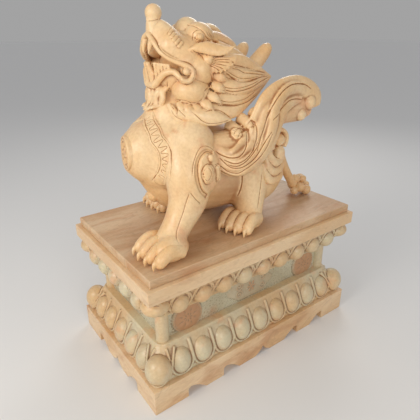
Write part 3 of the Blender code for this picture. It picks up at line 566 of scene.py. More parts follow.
HEAD_LINES = (
    (0.3, -0.2, ((147.5, 21.2), (153.7, 20.6), (158.5, 19.1))),
    (0.34, -0.3, (
        (144.1, 28.7), (150.4, 32.5), (156.1, 40.2), (160.4, 48.8), (167.1, 55), (175.2, 58.8),
        (183.4, 61.2), (191.5, 65.1), (195.3, 71.3), (194.1, 78.6), (188.3, 84), (181.9, 83), (176.2, 79.2),
    )),
    (0.3, -0.25, ((187.2, 24.4), (192, 25.4), (197.7, 27.7), (201.5, 30.6), (205.4, 35.4))),
    (0.28, -0.22, ((206.3, 30.6), (209.2, 35.4), (214, 42.1))),
    (0.26, -0.26, ((211.6, 59.8), (220.7, 59.5), (230.2, 59.3))),
    (0.26, -0.26, ((211.6, 61.2), (220.7, 61.7), (229.8, 62.7))),
    (0.26, -0.26, ((211.6, 62.7), (219.7, 64.3), (227.4, 66.2))),
    (0.26, -0.26, ((211.1, 64.1), (217.8, 66.5), (223.5, 69.1))),
    (0.26, -0.26, ((210.1, 65.5), (215.9, 68.4), (219.7, 71.3))),
    (0.42, -0.42, ((232.1, 61.2), (237.9, 68.9), (245.5, 72.7), (257, 73.7), (266.6, 75.6))),
    (0.42, -0.42, (
        (223.5, 70.8), (231.2, 77.5), (239.8, 81.3), (250.3, 80.8), (260.8, 77.5), (268.5, 76.1),
    )),
    (0.42, -0.42, ((220.7, 89.9), (230.2, 91.8), (239.8, 91.4), (252.2, 87.5), (261.8, 81.3), (269.5, 77))),
    (0.42, -0.42, ((214, 102.4), (224.5, 105.2), (236, 105.2), (248.4, 101.4), (258, 93.8), (265.6, 84.2))),
    (0.26, -0.22, ((235, 61.2), (241.2, 66.5), (248.4, 69.6), (258.9, 71.3), (266.1, 73.2))),
    (0.26, -0.22, ((226.4, 70.3), (233.1, 75.1), (240.8, 78.6), (250.3, 78.4), (260.8, 75.8))),
    (0.26, -0.22, ((221.6, 86.6), (230.2, 88.5), (239.8, 88.2), (251.3, 84.7), (260.8, 79.4))),
    (0.26, -0.22, ((215.4, 99), (225.4, 102), (235.5, 101.8), (246.5, 98.3), (256.5, 90.4))),
    (0.36, -0.34, (
        (170.9, 89.9), (172.8, 96.6), (178.6, 100.4), (186.2, 101.4), (192, 103.3), (199.6, 101.4),
        (204.4, 95.7), (205.4, 90.9), (211.1, 86.1), (212.5, 80.4), (210.1, 72.7),
    )),
    (0.28, -0.22, ((167.1, 81.3), (168.5, 90.9), (170.9, 99.5), (171.9, 106.2))),
    (0.32, -0.3, ((192, 111.9), (206.3, 123.4), (218.8, 123.4), (231.2, 119.1))),
    (0.28, -0.22, ((204.4, 111.9), (217.8, 110), (231.2, 118.1))),
    (0.28, -0.24, ((170.9, 109.1), (174.7, 115.8), (182.4, 120.5), (190.1, 126.3), (192.9, 131.1))),
    (0.28, -0.22, ((171.9, 106.2), (178.6, 110), (186.2, 117.7), (192, 127.2))),
    (0.24, -0.24, ((193, 40.6), (192.6, 34.9), (194.5, 31.4), (197.6, 29.9), (200.6, 30.3), (203.7, 33))),
    (0.2, -0.2, ((196.4, 35.3), (199.1, 34.1), (202.9, 34.9), (204.4, 36.8))),
    (0.2, -0.2, ((194.9, 40.2), (199.1, 40.2), (203.3, 39.9))),
    (0.2, -0.18, ((195.3, 41.8), (199.1, 42.5), (203.3, 42.3))),
    (0.3, -0.3, (
        (187.2, 24.5), (191.4, 25.3), (196, 26.8), (200.6, 29.5), (204.4, 33), (206.7, 37.6), (210.2, 41.4),
        (213.2, 44.4),
    )),
    (0.26, -0.22, ((207.5, 29.9), (210.2, 34.5), (212.5, 39.1), (214.8, 44.1))),
    (0.3, -0.28, ((192.6, 49.8), (198.3, 52.5), (201.8, 55.9), (203.7, 59.8))),
)

NOSE_ROLLS = [
    (0.6, 0.36, ((x, y), (x + 1.3, y - 1.6), (x + 2.7, y - 3.4)))
    for x, y in ((169.7, 33.4), (171.7, 36.6), (173.9, 39.8), (176.3, 43), (178.9, 46))
]
PUPIL = (1, 0.5, ((200.6, 36.8), (200.6, 37.6)))

WING_KNOBS = ((1.8, 1.3, ((235.8, 133.6), (236.6, 135.2))),)

WING_LINES = (
    (0.34, -0.34, (
        (257.5, 150.4), (262.9, 132.5), (269.1, 112.9), (275.4, 102.1), (282.5, 92.3), (289.6, 86.1),
        (295.9, 83.8), (304.8, 84.3), (311.1, 88.8),
    )),
    (0.3, -0.26, ((273.6, 120), (280.7, 109.3), (288.8, 101.2), (295, 99), (302.1, 99.5))),
    (0.3, -0.26, ((280.7, 123.1), (293.2, 124), (304.8, 121.8), (309.7, 111.1))),
    (0.3, -0.28, (
        (212.9, 149.5), (220.9, 154.8), (230.7, 157.9), (239.6, 156.6), (245, 150.4), (246.8, 141.4),
        (246.3, 132.5),
    )),
    (0.3, -0.28, (
        (224.5, 160.2), (235.2, 163.8), (245, 160.2), (253, 150.4), (256.6, 139.6), (256.6, 128),
        (252.1, 121.8),
    )),
    (0.3, -0.28, ((226.2, 164.6), (237.9, 166.4), (248.6, 159.3), (257.5, 146.8), (262, 136.1))),
    (0.3, -0.28, (
        (220, 158.4), (228.9, 166.4), (236.1, 168.7), (245, 166.4), (255.7, 157.5), (264.6, 143.2),
        (271.8, 132.5),
    )),
    (0.3, -0.28, (
        (220.9, 166.4), (228, 171.8), (237.9, 173.6), (245, 170), (257.5, 160.2), (266.4, 148.6),
        (272.7, 134.3),
    )),
)

FLANK_LINES = (
    (0.28, -0.24, ((272.7, 136.1), (275.4, 131.6), (280.7, 129.8), (285.2, 134.3), (285.2, 139.6))),
    (0.26, -0.24, ((268.2, 144.1), (269.1, 150.4), (273.6, 156.6), (278.9, 159.3))),
    (0.26, -0.24, ((266.4, 152.1), (269.1, 159.3), (275.4, 166.4), (280.7, 165.5))),
    (0.26, -0.24, ((262, 159.3), (265.5, 168.2), (271.8, 172.7), (278, 173.6))),
    (0.34, -0.4, ((241, 170.5), (242, 176), (242, 181.4), (240.5, 189), (237.6, 196))),
    (0.3, -0.34, ((262.4, 172), (261.6, 180), (260.6, 188), (259, 200), (257.8, 208))),
)

LEG_LINES = (
    (0.3, -0.28, (
        (192.3, 175.8), (194.1, 161.6), (199.4, 148.7), (205.3, 145.7), (212.4, 148.7), (217.1, 155.7),
    )),
    (0.3, -0.26, (
        (207.6, 195.8), (201.7, 189.9), (198.2, 178.1), (197.6, 166.3), (200.6, 156.9), (206.5, 151.6),
        (212.4, 153.4),
    )),
    (0.24, -0.22, (
        (207.6, 163.4), (212.1, 167.5), (213.5, 174), (212.1, 180.5), (207.6, 184.6), (203.2, 180.5),
        (201.7, 174), (203.2, 167.5), (207.6, 163.4),
    )),
    (0.22, -0.2, (
        (207.6, 166.9), (210.5, 169.9), (211.8, 174), (210.5, 178.1), (207.6, 181.1), (204.8, 178.1),
        (203.5, 174), (204.8, 169.9), (207.6, 166.9),
    )),
    (0.24, -0.2, ((214.7, 164), (218.9, 166.3), (220, 173.4), (218.3, 180.5), (215.3, 181.7))),
    (0.28, -0.24, (
        (189.9, 192.3), (186.4, 201.7), (182.9, 213.5), (178.7, 225.3), (176.5, 233.6), (177.2, 239.5),
        (179.6, 244),
    )),
    (0.26, -0.22, ((189.9, 192.3), (194.7, 198.2), (200.6, 204.1))),
    (0.28, -0.26, (
        (181.7, 245.4), (182.3, 252.5), (178.1, 259.6), (171.1, 265.5), (161.6, 269.6), (156.9, 270.2),
    )),
)


SHOULDER_FORMS = (
    (0.9, -0.75, (
        (206.7, 196.4), (201.2, 189.9), (197.6, 178.1), (197.3, 166.3), (200.3, 156.9), (206.2, 151.2),
        (211.8, 152.8),
    )),
    (2.2, 1.3, ((207.9, 171.1), (207.9, 177.6))),
    (1, 1.2, ((210.4, 157.1), (210.8, 158.7))),
    (1, 0.9, ((217.3, 167.5), (217.8, 178.1))),
)
COLLAR_INNER = (
    (144.5, 116.8), (145.7, 125.1), (149.8, 134.5), (151.6, 141.6), (156.9, 148.7), (159.9, 155.7),
    (160.5, 164), (158.1, 172.2), (152.2, 180.5),
)
COLLAR_OUTER = (
    (152.2, 113.3), (154, 120.3), (159.3, 128.6), (162.2, 136.3), (167.5, 142.8), (171.1, 152.2),
    (171.1, 161.6), (170.5, 171.1), (169.9, 180.5),
)
COLLAR_MIDDLE = (
    (148.3, 115), (149.8, 122.7), (154.6, 131.5), (156.9, 139), (162.2, 145.7), (165.4, 154),
    (165.8, 162.8), (164.2, 171.7), (161, 180.5),
)


# From loose forms to one carved surface


def add_object(name, data):
    made = bpy.data.objects.new(name, data)
    bpy.context.scene.collection.objects.link(made)
    return made


def new_object(name, bm):
    mesh = bpy.data.meshes.new(name)
    bm.to_mesh(mesh)
    bm.free()
    return add_object(name, mesh)


def apply_modifiers(piece):
    bpy.context.view_layer.update()
    graph = bpy.context.evaluated_depsgraph_get()
    mesh = bpy.data.meshes.new_from_object(piece.evaluated_get(graph), depsgraph=graph)
    piece.modifiers.clear()
    old = piece.data
    piece.data = mesh
    bpy.data.meshes.remove(old)


def fused(name, bm, cell, soften=2, in_units=True, fillet=0.0):
    """The forms made one skin of square cells, with their meetings filled in. Lengths are in metres."""
    bmesh.ops.recalc_face_normals(bm, faces=bm.faces[:])
    if in_units:
        on_slab = Matrix.Translation((0, 0, SLAB_TOP)) @ Matrix.Scale(UNIT, 4)
        bmesh.ops.transform(bm, matrix=on_slab, verts=bm.verts[:])
    piece = new_object(name, bm)
    fuse = piece.modifiers.new("Fuse", "REMESH")
    fuse.mode = "VOXEL"
    fuse.voxel_size = cell
    if fillet:
        for step, strength in (("Swell", fillet), ("Shrink", -fillet)):
            move = piece.modifiers.new(step, "DISPLACE")
            move.mid_level = 0
            move.strength = strength
            again = piece.modifiers.new(step + "Skin", "REMESH")
            again.mode = "VOXEL"
            again.voxel_size = cell
    smooth = piece.modifiers.new("Soften", "SMOOTH")
    smooth.iterations = soften
    smooth.factor = 0.5
    apply_modifiers(piece)
    return piece


def triplets(things, key):
    values = np.empty(len(things) * 3, np.float32)
    things.foreach_get(key, values)
    return values.reshape(-1, 3).astype(float)


def points_of(mesh):
    return triplets(mesh.vertices, "co")


def normals_of(mesh):
    return triplets(mesh.vertex_normals, "vector")


def tree_of(piece):
    return BVHTree.FromObject(piece, bpy.context.evaluated_depsgraph_get())


def metres(points):
    return np.array(points, float) * UNIT + np.array((0, 0, SLAB_TOP))


def seen(tree, pixels):
    """Points of the surface under these places of the photograph, without leaps to what lies behind."""
    found = []
    half = FRAME_PIXELS / 2
    scale = LENS / SENSOR_WIDTH * FRAME_PIXELS
    for across, down in pixels:
        ray = RIGHT * (across - half) / scale + UP * (half - down) / scale - BACK
        hit = tree.ray_cast(EYE, ray.normalized())[0]
        if hit is None:
            continue
        if found and abs((hit - EYE).length - (Vector(found[-1]) - EYE).length) > LEAP:
            continue
        found.append(tuple(hit))
    return found


def resampled(path, spacing):
    path = smooth_rows(path, 12) if len(path) > 2 else np.array(path, float)
    steps = np.linalg.norm(np.diff(path, axis=0), axis=1)
    along = np.concatenate([[0], np.cumsum(steps)])
    wanted = np.linspace(0, along[-1], max(3, int(along[-1] / spacing)))
    line = np.stack([np.interp(wanted, along, path[:, axis]) for axis in range(3)], axis=1)
    return line, wanted / along[-1]


def refine(piece, lookup, reach):
    """Splits the faces near the lines, so that the cuts are crisp."""
    bm = bmesh.new()
    bm.from_mesh(piece.data)
    near = set()
    for vert in bm.verts:
        _, nearest, distance = lookup.find(vert.co)
        if distance < reach[nearest]:
            near.add(vert)
    edges = [edge for edge in bm.edges if edge.verts[0] in near and edge.verts[1] in near]
    bmesh.ops.subdivide_edges(bm, edges=edges, cuts=1, use_grid_fill=True)
    bm.to_mesh(piece.data)
    bm.free()


def engrave(piece, strokes, both=True, shape="groove", splits=1):
    """Cuts or raises lines. A stroke is (half width, depth, path), in metres. A depth below 0 cuts in."""
    tree = tree_of(piece)
    rows = []
    for width, depth, path in strokes:
        if len(path) < 2:
            continue
        for sign in (1, -1) if both else (1,):
            line, share = resampled(np.array(path) * np.array((sign, 1, 1)), width / 3)
            fade = np.ones(len(share))
            if shape == "groove":
                fade = np.clip(np.minimum(share, 1 - share) / 0.16 + 0.3, 0, 1)
            for point, strength in zip(line, fade):
                rows.append((*tree.find_nearest(Vector(point))[0], width, depth * strength))
    rows = np.array(rows)
    lookup = KDTree(len(rows))
    for index, row in enumerate(rows):
        lookup.insert(row[:3], index)
    lookup.balance()
    for _ in range(splits):
        refine(piece, lookup, rows[:, 3] * 2.2 + 0.001)
    mesh = piece.data
    points = points_of(mesh)
    found = [lookup.find(point)[1:] for point in points]
    nearest = np.array([index for index, _ in found])
    share = np.array([distance for _, distance in found]) / rows[nearest, 3]
    if shape == "groove":
        profile = 0.8 * np.exp(-((share / 0.55) ** 2)) + 0.2 * np.exp(-(share**2))
    elif shape == "dome":
        profile = np.sqrt(np.clip(1 - share**2, 0, 1))
    else:
        profile = np.clip((1.06 - share) / 0.14, 0, 1)
    points += normals_of(mesh) * (rows[nearest, 4] * profile)[:, None]
    mesh.vertices.foreach_set("co", points.astype(np.float32).ravel())
    mesh.update()


def on_photo(piece, lines, deepen=1.0):
    """Strokes whose paths are pixels of the photograph, laid on the piece."""
    tree = tree_of(piece)
    return [(width * UNIT, depth * UNIT * deepen, seen(tree, pixels)) for width, depth, pixels in lines]


def thinned(piece, triangles):
    """At most this many triangles, kept where the surface bends most."""
    piece.data.calc_loop_triangles()
    count = len(piece.data.loop_triangles)
    if count > triangles:
        thin = piece.modifiers.new("Thin", "DECIMATE")
        thin.ratio = triangles / count
        apply_modifiers(piece)


def near(points, centre, reach):
    """How near each point is, seen from the flank, to a centre given as (y, z). 1 is at it."""
    away = (points[:, 1:] - centre) / reach
    return np.exp(-(away**2).sum(axis=1))


def store(mesh, name, values):
    """Keeps a number at each point, which the stone reads."""
    stored = mesh.attributes.new(name, "FLOAT", "POINT")
    stored.data.foreach_set("value", values.astype(np.float32))


def paint_patina_and_light(piece, painted_region_shade=0.0, crease_patina_and_shade=4.2):
    """Stores how dark or pale to paint each point: patina and painted shade in creases, painted shade
    underneath and in the given regions, painted highlight on ridges.
    """
    mesh = piece.data
    points = points_of(mesh)
    normals = normals_of(mesh)
    edges = np.empty(len(mesh.edges) * 2, np.int32)
    mesh.edges.foreach_get("vertices", edges)
    a, b = edges.reshape(-1, 2).T
    gap = points[b] - points[a]
    length = np.maximum(np.linalg.norm(gap, axis=1), 1e-6)
    rise_a = (gap * normals[a]).sum(axis=1) / length
    rise_b = -(gap * normals[b]).sum(axis=1) / length
    total = np.bincount(a, rise_a, len(points)) + np.bincount(b, rise_b, len(points))
    count = np.maximum(np.bincount(a, minlength=len(points)) + np.bincount(b, minlength=len(points)), 1)
    # The bend of the surface: patina and painted shade in creases, below zero on ridges for a painted
    # highlight.
    patina_and_painted_light = total / count
    for _ in range(2):
        spread = np.bincount(a, patina_and_painted_light[b], len(points)) + np.bincount(b, patina_and_painted_light[a], len(points))
        patina_and_painted_light = 0.4 * patina_and_painted_light + 0.6 * spread / count
    # Painted shade where faces turn down, and painted shade in the given regions.
    underside_shade = 0.26 * np.clip(-normals[:, 2] - 0.05, 0, 1) + painted_region_shade
    store(mesh, "patina_and_painted_light", np.clip(np.clip(patina_and_painted_light * crease_patina_and_shade, -0.6, 1) + underside_shade, -1, 1))
    mesh.polygons.foreach_set("use_smooth", np.ones(len(mesh.polygons), bool))


def dress(piece, node, material):
    piece.data.materials.clear()
    piece.data.materials.append(material)
    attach(piece, "root")
    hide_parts(node)


# Polished stone


def marble(name, base, pale, warm, dark, streak=(3, 3, 3), roughness=0.36, vein=0.3):
    """Cloudy stone with soft veins, with patina and painted shade in its creases and a painted highlight on
    its ridges. streak scales the clouds along x, y and z.
    """
    material = bpy.data.materials.new(name)
    material.use_nodes = True
    nodes, links = material.node_tree.nodes, material.node_tree.links
    shader = nodes["Principled BSDF"]

    def node(kind, *source, **settings):
        """A node with these settings and input values. A source feeds its first input."""
        made = nodes.new(kind)
        for key, value in settings.items():
            if hasattr(made, key):
                setattr(made, key, value)
            else:
                made.inputs[key].default_value = value
        for socket in source:
            links.new(socket, made.inputs[0])
        return made

    def mix(factor, a, b):
        made = node("ShaderNodeMix", data_type="RGBA")
        for value, socket in ((factor, made.inputs[0]), (a, made.inputs[6]), (b, made.inputs[7])):
            if isinstance(value, bpy.types.NodeSocket):
                links.new(value, socket)
            else:
                socket.default_value = value
        return made.outputs[2]

    def span(socket, low, high, to_low=0.0, to_high=1.0):
        made = node("ShaderNodeMapRange", socket, interpolation_type="SMOOTHSTEP")
        for index, value in enumerate((low, high, to_low, to_high), 1):
            made.inputs[index].default_value = value
        return made.outputs[0]

    place = node("ShaderNodeTexCoord")
    spread = node("ShaderNodeMapping", place.outputs["Object"], Scale=streak)

    def noise(scale, detail, distortion=0.0, source=spread.outputs[0]):
        made = node("ShaderNodeTexNoise", source, Scale=scale, Detail=detail, Distortion=distortion)
        return made.outputs["Fac"]

    clouds = noise(1.3, 5, 0.6)
    patches = noise(2.6, 4, 1.2)
    fine = noise(38, 6, 0.2)
    veins = noise(1.9, 7, 1.8)
    colour = mix(span(clouds, 0.38, 0.66), base, pale)
    colour = mix(span(patches, 0.54, 0.74, 0, 0.75), colour, warm)
    shifted = node("ShaderNodeMath", veins, operation="SUBTRACT")
    shifted.inputs[1].default_value = 0.5
    line = node("ShaderNodeMath", shifted.outputs[0], operation="ABSOLUTE")
    colour = mix(span(line.outputs[0], 0.0, 0.022, vein, 0), colour, dark)
    colour = mix(span(fine, 0.3, 0.75, 0.0, 0.16), colour, dark)
    blush = node("ShaderNodeAttribute", attribute_name="blush")
    colour = mix(span(blush.outputs["Fac"], 0.0, 1.0), colour, warm)
    # Patina and painted shade in creases, painted shade underneath and in shaded regions; painted highlight
    # on ridges and block edges.
    patina_and_painted_light = node("ShaderNodeAttribute", attribute_name="patina_and_painted_light")
    colour = mix(span(patina_and_painted_light.outputs["Fac"], 0.05, 0.55, 0, 0.9), colour, dark)
    colour = mix(span(patina_and_painted_light.outputs["Fac"], -0.15, -0.6, 0, 0.3), colour, pale)
    links.new(colour, shader.inputs["Base Color"])
    links.new(span(fine, 0.2, 0.8, roughness - 0.06, roughness + 0.1), shader.inputs["Roughness"])
    bump = node("ShaderNodeBump", Strength=0.12, Distance=0.0008)
    links.new(noise(90, 4, source=place.outputs["Object"]), bump.inputs["Height"])
    links.new(bump.outputs[0], shader.inputs["Normal"])
    for key, value in (
        ("Subsurface Weight", 0.12),
        ("Subsurface Radius", (1.0, 0.6, 0.35)),
        ("Subsurface Scale", 0.006),
        ("Coat Weight", 0.08),
        ("Coat Roughness", 0.25),
    ):
        shader.inputs[key].default_value = value
    return material


FIGURE_STONE = marble(
    "figure_stone", (0.82, 0.52, 0.245, 1), (0.89, 0.66, 0.385, 1), (0.80, 0.44, 0.23, 1),
    (0.38, 0.15, 0.045, 1), vein=0.08,
)
SLAB_STONE = marble(
    "slab_stone", (0.59, 0.355, 0.18, 1), (0.72, 0.52, 0.32, 1), (0.58, 0.30, 0.145, 1),
    (0.31, 0.175, 0.085, 1), streak=(7, 2.0, 6), roughness=0.44, vein=0.24,
)
CAP_STONE = marble(
    "cap_stone", (0.71, 0.445, 0.22, 1), (0.84, 0.62, 0.38, 1), (0.58, 0.30, 0.14, 1),
    (0.34, 0.17, 0.075, 1), streak=(2.2, 1.6, 4.5), vein=0.22,
)
PLINTH_STONE = marble(
    "plinth_stone", (0.70, 0.475, 0.245, 1), (0.66, 0.58, 0.39, 1), (0.74, 0.40, 0.20, 1),
    (0.28, 0.14, 0.06, 1), roughness=0.34, vein=0.12,
)
PANEL_STONE = marble(
    "panel_stone", (0.50, 0.44, 0.29, 1), (0.61, 0.56, 0.40, 1), (0.50, 0.27, 0.135, 1),
    (0.27, 0.19, 0.11, 1), roughness=0.62, vein=0.1,
)


def carve_coin(body):
    facing = Vector(COIN_FACING).normalized()
    across = facing.cross(Vector((0, 0, 1))).normalized()
    up = across.cross(facing)
    turns = [math.tau * step / 24 for step in range(25)]
    rings = []
    for radius in (5.0, 3.9, 1.5):
        ring = [Vector(COIN) + across * radius * math.cos(t) + up * radius * math.sin(t) for t in turns]
        rings.append((0.30 * UNIT, -0.30 * UNIT, metres([tuple(point) for point in ring])))
    engrave(body, rings, both=False)
    petals = []
    for petal in range(8):
        turn = math.tau * petal / 8
        way = across * math.cos(turn) + up * math.sin(turn)
        ends = [tuple(Vector(COIN) + way * radius) for radius in (2.2, 3.2)]
        petals.append((0.5 * UNIT, 0.3 * UNIT, metres(ends)))
    engrave(body, petals, both=False, shape="dome", splits=0)


def carve_collar(body):
    """A strap with rolled edges and an angular meander, from the throat to the bell."""
    tree = tree_of(body)
    middle = seen(tree, COLLAR_MIDDLE)
    engrave(body, [(2.2 * UNIT, 0.28 * UNIT, middle)], shape="band")
    edges = on_photo(body, [(0.26, -0.28, edge) for edge in (COLLAR_INNER, COLLAR_OUTER)])
    engrave(body, edges)
    tree = tree_of(body)
    line, _ = resampled(middle, 0.55 * UNIT)
    side = 1.0 * UNIT
    meander = []
    for index in range(1, len(line) - 1):
        _, normal, _, _ = tree.find_nearest(Vector(line[index]))
        across = normal.cross(Vector(line[index + 1] - line[index - 1]).normalized())
        offset = side if index % 4 in (1, 2) else -side
        meander.append(tuple(Vector(line[index]) + across * offset))
    engrave(body, [(0.18 * UNIT, -0.2 * UNIT, meander)])


def hind_paw(bm):
    paw(bm, 17.8, -4.2, 20, 10.4)


def gathered(single, paired):
    """A mesh of these forms, the paired ones on both flanks."""
    bm = bmesh.new()
    for build in single:
        build(bm)
    for build in paired:
        mirrored(bm, build)
    return bm


def moved_back(near_leg):
    """The near foreleg's strokes on the far one, which stands further back."""
    strokes = []
    for width, depth, path in near_leg:
        path = np.array(path)
        heights = (path[:, 2] - SLAB_TOP) / UNIT
        swing = np.interp(heights, (5.6, 10.5, 17, 26, 34), (0.95, 0.70, 0.45, 0.25, 0.15))
        back = (NEAR_REACH - FAR_REACH) * UNIT * swing
        strokes.append((width, depth, path * (-1, 1, 1) + np.stack([0 * back, back, 0 * back], axis=1)))
    return strokes


def make_beast():
    sides = (face_side, mouth_side, ear, horn, crest_side, mane_side, tufts)
    head = fused("beast_head", gathered((skull, jaw, beard, crest), sides), FINE_CELL)
    engrave(head, on_photo(head, [*NOSE_ROLLS, PUPIL]), shape="dome")
    engrave(head, on_photo(head, HEAD_LINES))
    bm = gathered((torso, tail), (shoulder_scroll, hind_leg))
    foreleg(bm, 1, NEAR_REACH)
    foreleg(bm, -1, FAR_REACH)
    body = fused("beast_body", bm, BODY_CELL, soften=4, fillet=BODY_FILLET)
    bm = gathered((bell, tail_tuft), (haunch_curls, hind_paw))
    paw(bm, 18.2, -24.5 - 1.05 * NEAR_REACH, 2, 12.5)
    paw(bm, -18.2, -24.5 - 1.05 * FAR_REACH, -2, -12.5)
    coin(bm)
    paws = fused("beast_paws", bm, FINE_CELL, soften=1)
    carve_coin(paws)
    carve_collar(body)
    engrave(body, on_photo(body, SHOULDER_FORMS), shape="dome")
    engrave(body, on_photo(body, FLANK_LINES))
    near_leg = on_photo(body, LEG_LINES)
    engrave(body, near_leg, both=False)
    engrave(body, moved_back(near_leg), both=False)
    wings = fused("beast_wings", gathered((), (wing,)), WING_CELL)
    engrave(wings, on_photo(wings, WING_KNOBS), shape="dome")
    engrave(wings, on_photo(wings, WING_LINES, 1.6))
    limits = (HEAD_TRIANGLES, BODY_TRIANGLES, SMALL_TRIANGLES, SMALL_TRIANGLES)
    for piece, most in zip((head, body, paws, wings), limits):
        thinned(piece, most)
        figure = (points_of(piece.data) - (0, 0, SLAB_TOP)) / UNIT
        # Painted shade: the belly under the wing and between the legs, and the root of the wing; on the wings
        # painted shade all over, less towards the blade's rear top.
        painted_region_shade = 0.0
        if piece is body:
            painted_region_shade = 0.36 * near(figure, (-9, 17), (9, 9)) + 0.34 * near(figure, (-7, 34), (9, 4.5))
        elif piece is wings:
            painted_region_shade = 0.20 - 0.14 * near(figure, (24, 46), (9, 7)) + 0.1 * near(figure, (-8, 34), (8, 6))
        paint_patina_and_light(piece, painted_region_shade)
        dress(piece, "pixiu", FIGURE_STONE)


def box_mesh(low, high, bevel=0.0):
    bm = bmesh.new()
    size = Matrix.Diagonal((*(Vector(high) - Vector(low)), 1))
    middle = Matrix.Translation((Vector(high) + Vector(low)) / 2)
    bmesh.ops.create_cube(bm, size=1, matrix=middle @ size)
    if bevel:
        bmesh.ops.bevel(bm, geom=bm.edges[:], offset=bevel, segments=4, profile=0.6, affect="EDGES")
    return bm


def paint_edge_highlight(piece):
    """Marks a band along the rounded edges for a painted highlight, paler stone there."""
    mesh = piece.data
    points = points_of(mesh)
    low, high = points.min(axis=0), points.max(axis=0)
    middle, half = (low + high) / 2, (high - low) / 2
    depth = np.sort(half - np.abs(points - middle), axis=1)
    store(mesh, "patina_and_painted_light", np.where(depth[:, 1] < EDGE_HIGHLIGHT_BAND, -0.75, 0))


SIDES = ((0, HALF_Y, HALF_X), (90, HALF_X, HALF_Y), (180, HALF_Y, HALF_X), (270, HALF_X, HALF_Y))
PETAL_PITCH = 0.0925


def side_place(turn, distance):
    """Local x runs along the side, -y points out of it, and y = 0 is its edge."""
    return Matrix.Rotation(math.radians(turn), 4, "Z") @ Matrix.Translation((0, -distance, 0))


def corner_places(half_x, half_y):
    for turn, x, y in ((45, 1, -1), (135, 1, 1), (225, -1, 1), (315, -1, -1)):
        yield Matrix.Translation((x * half_x, y * half_y, 0)) @ Matrix.Rotation(math.radians(turn), 4, "Z")


def placed(bm, matrix, build):
    part = bmesh.new()
    build(part)
    bmesh.ops.transform(part, matrix=matrix, verts=part.verts[:])
    add_copy(bm, part)
    part.free()


def rounded_rectangle(half_x, half_y, radius, z):
    points = []
    for turn, x, y in ((0, 1, 1), (90, -1, 1), (180, -1, -1), (270, 1, -1)):
        for step in range(7):
            angle = math.radians(turn + 15 * step)
            across = x * (half_x - radius) + radius * math.cos(angle)
            points.append((across, y * (half_y - radius) + radius * math.sin(angle), z))
    return points


# How far in from the edge the moulding's core lies, by the share of its height from the wide end
CORE = ((-0.04, 0.020), (0.1, 0.015), (0.4, 0.020), (0.7, 0.034), (1.03, 0.054), (1.2, 0.060))


def core_inset(share):
    return float(np.interp(share, [row[0] for row in CORE], [row[1] for row in CORE]))


def lotus_belt(name, wide_z, narrow_z, half_x, half_y, bulb, corner, rims):
    """A moulding of bulbs in raised frames. bulb and corner give (share, inset, along, out, up)."""
    rise = narrow_z - wide_z
    bm = bmesh.new()
    outlines = []
    for step in range(17):
        share = -0.03 + 1.13 * step / 16
        inset = core_inset(share)
        radius = 0.012 + 0.02 * max(share, 0)
        outlines.append(rounded_rectangle(half_x - inset, half_y - inset, radius, wide_z + share * rise))
    skin(bm, outlines)

    def frame_round(part, half, top, arch, thick, at_corner=False):
        bend = top * 0.6 + arch * 0.4
        drop = arch - 0.035
        path = [(-half, top), (-half, bend)]
        for step in range(15):
            turn = math.pi * step / 14
            path.append((-half * math.cos(turn), arch - drop * math.sin(turn)))
        path += [(half, bend), (half, top)]
        rows = []
        for x, share in path:
            inset = core_inset(share)
            if at_corner:
                inset = inset * math.sqrt(2) + math.hypot(x, 0.014) - 0.010
            rows.append((x, inset, wide_z + share * rise, thick, thick * 1.7))
        limb(part, rows, out=(0, -1, 0), steps=3, sides=10, least=0.001)

    def petal(part):
        share, inset, *radii = bulb
        ball(part, (0, inset, wide_z + share * rise), radii, pitch=-18 if rise > 0 else 18)
        for rim in rims:
            frame_round(part, *rim)

    def corner_petal(part):
        share, inset, *radii = corner
        ball(part, (0, inset * math.sqrt(2), wide_z + share * rise), radii)
        half, top, arch, thick = rims[0]
        frame_round(part, half * 1.02, top, arch, thick * 1.1, at_corner=True)

    for turn, distance, half in SIDES:
        count = round(2 * half / PETAL_PITCH)
        pitch = 2 * (half - 0.030) / count
        side = side_place(turn, distance + half_x - HALF_X)
        for index in range(1, count):
            placed(bm, side @ Matrix.Translation((index * pitch - count * pitch / 2, 0, 0)), petal)
    for place in corner_places(half_x, half_y):
        placed(bm, place, corner_petal)
    return fused(name, bm, FINE_CELL, in_units=False)


def lobe_outline(edge):
    """A cut-out that stands steep at its outer edge and runs out in a curve towards the middle."""
    outline = [(edge, -PAST_FACE), (edge, APRON_HEIGHT - 0.006), (edge - 0.011, APRON_HEIGHT)]
    for step in range(1, 13):
        share = step / 12
        outline.append((edge - (0.15 + 0.85 * share) * LOBE_WIDTH, APRON_HEIGHT * (1 - share**1.6)))
    return [*outline, (edge - LOBE_WIDTH, -PAST_FACE)]


def arch_outline():
    curve = [(ARCH_HALF_WIDTH * s / 12, APRON_HEIGHT * (1 - math.sqrt(abs(s) / 12))) for s in range(-12, 13)]
    return [(-ARCH_HALF_WIDTH, -PAST_FACE), *curve, (ARCH_HALF_WIDTH, -PAST_FACE)]


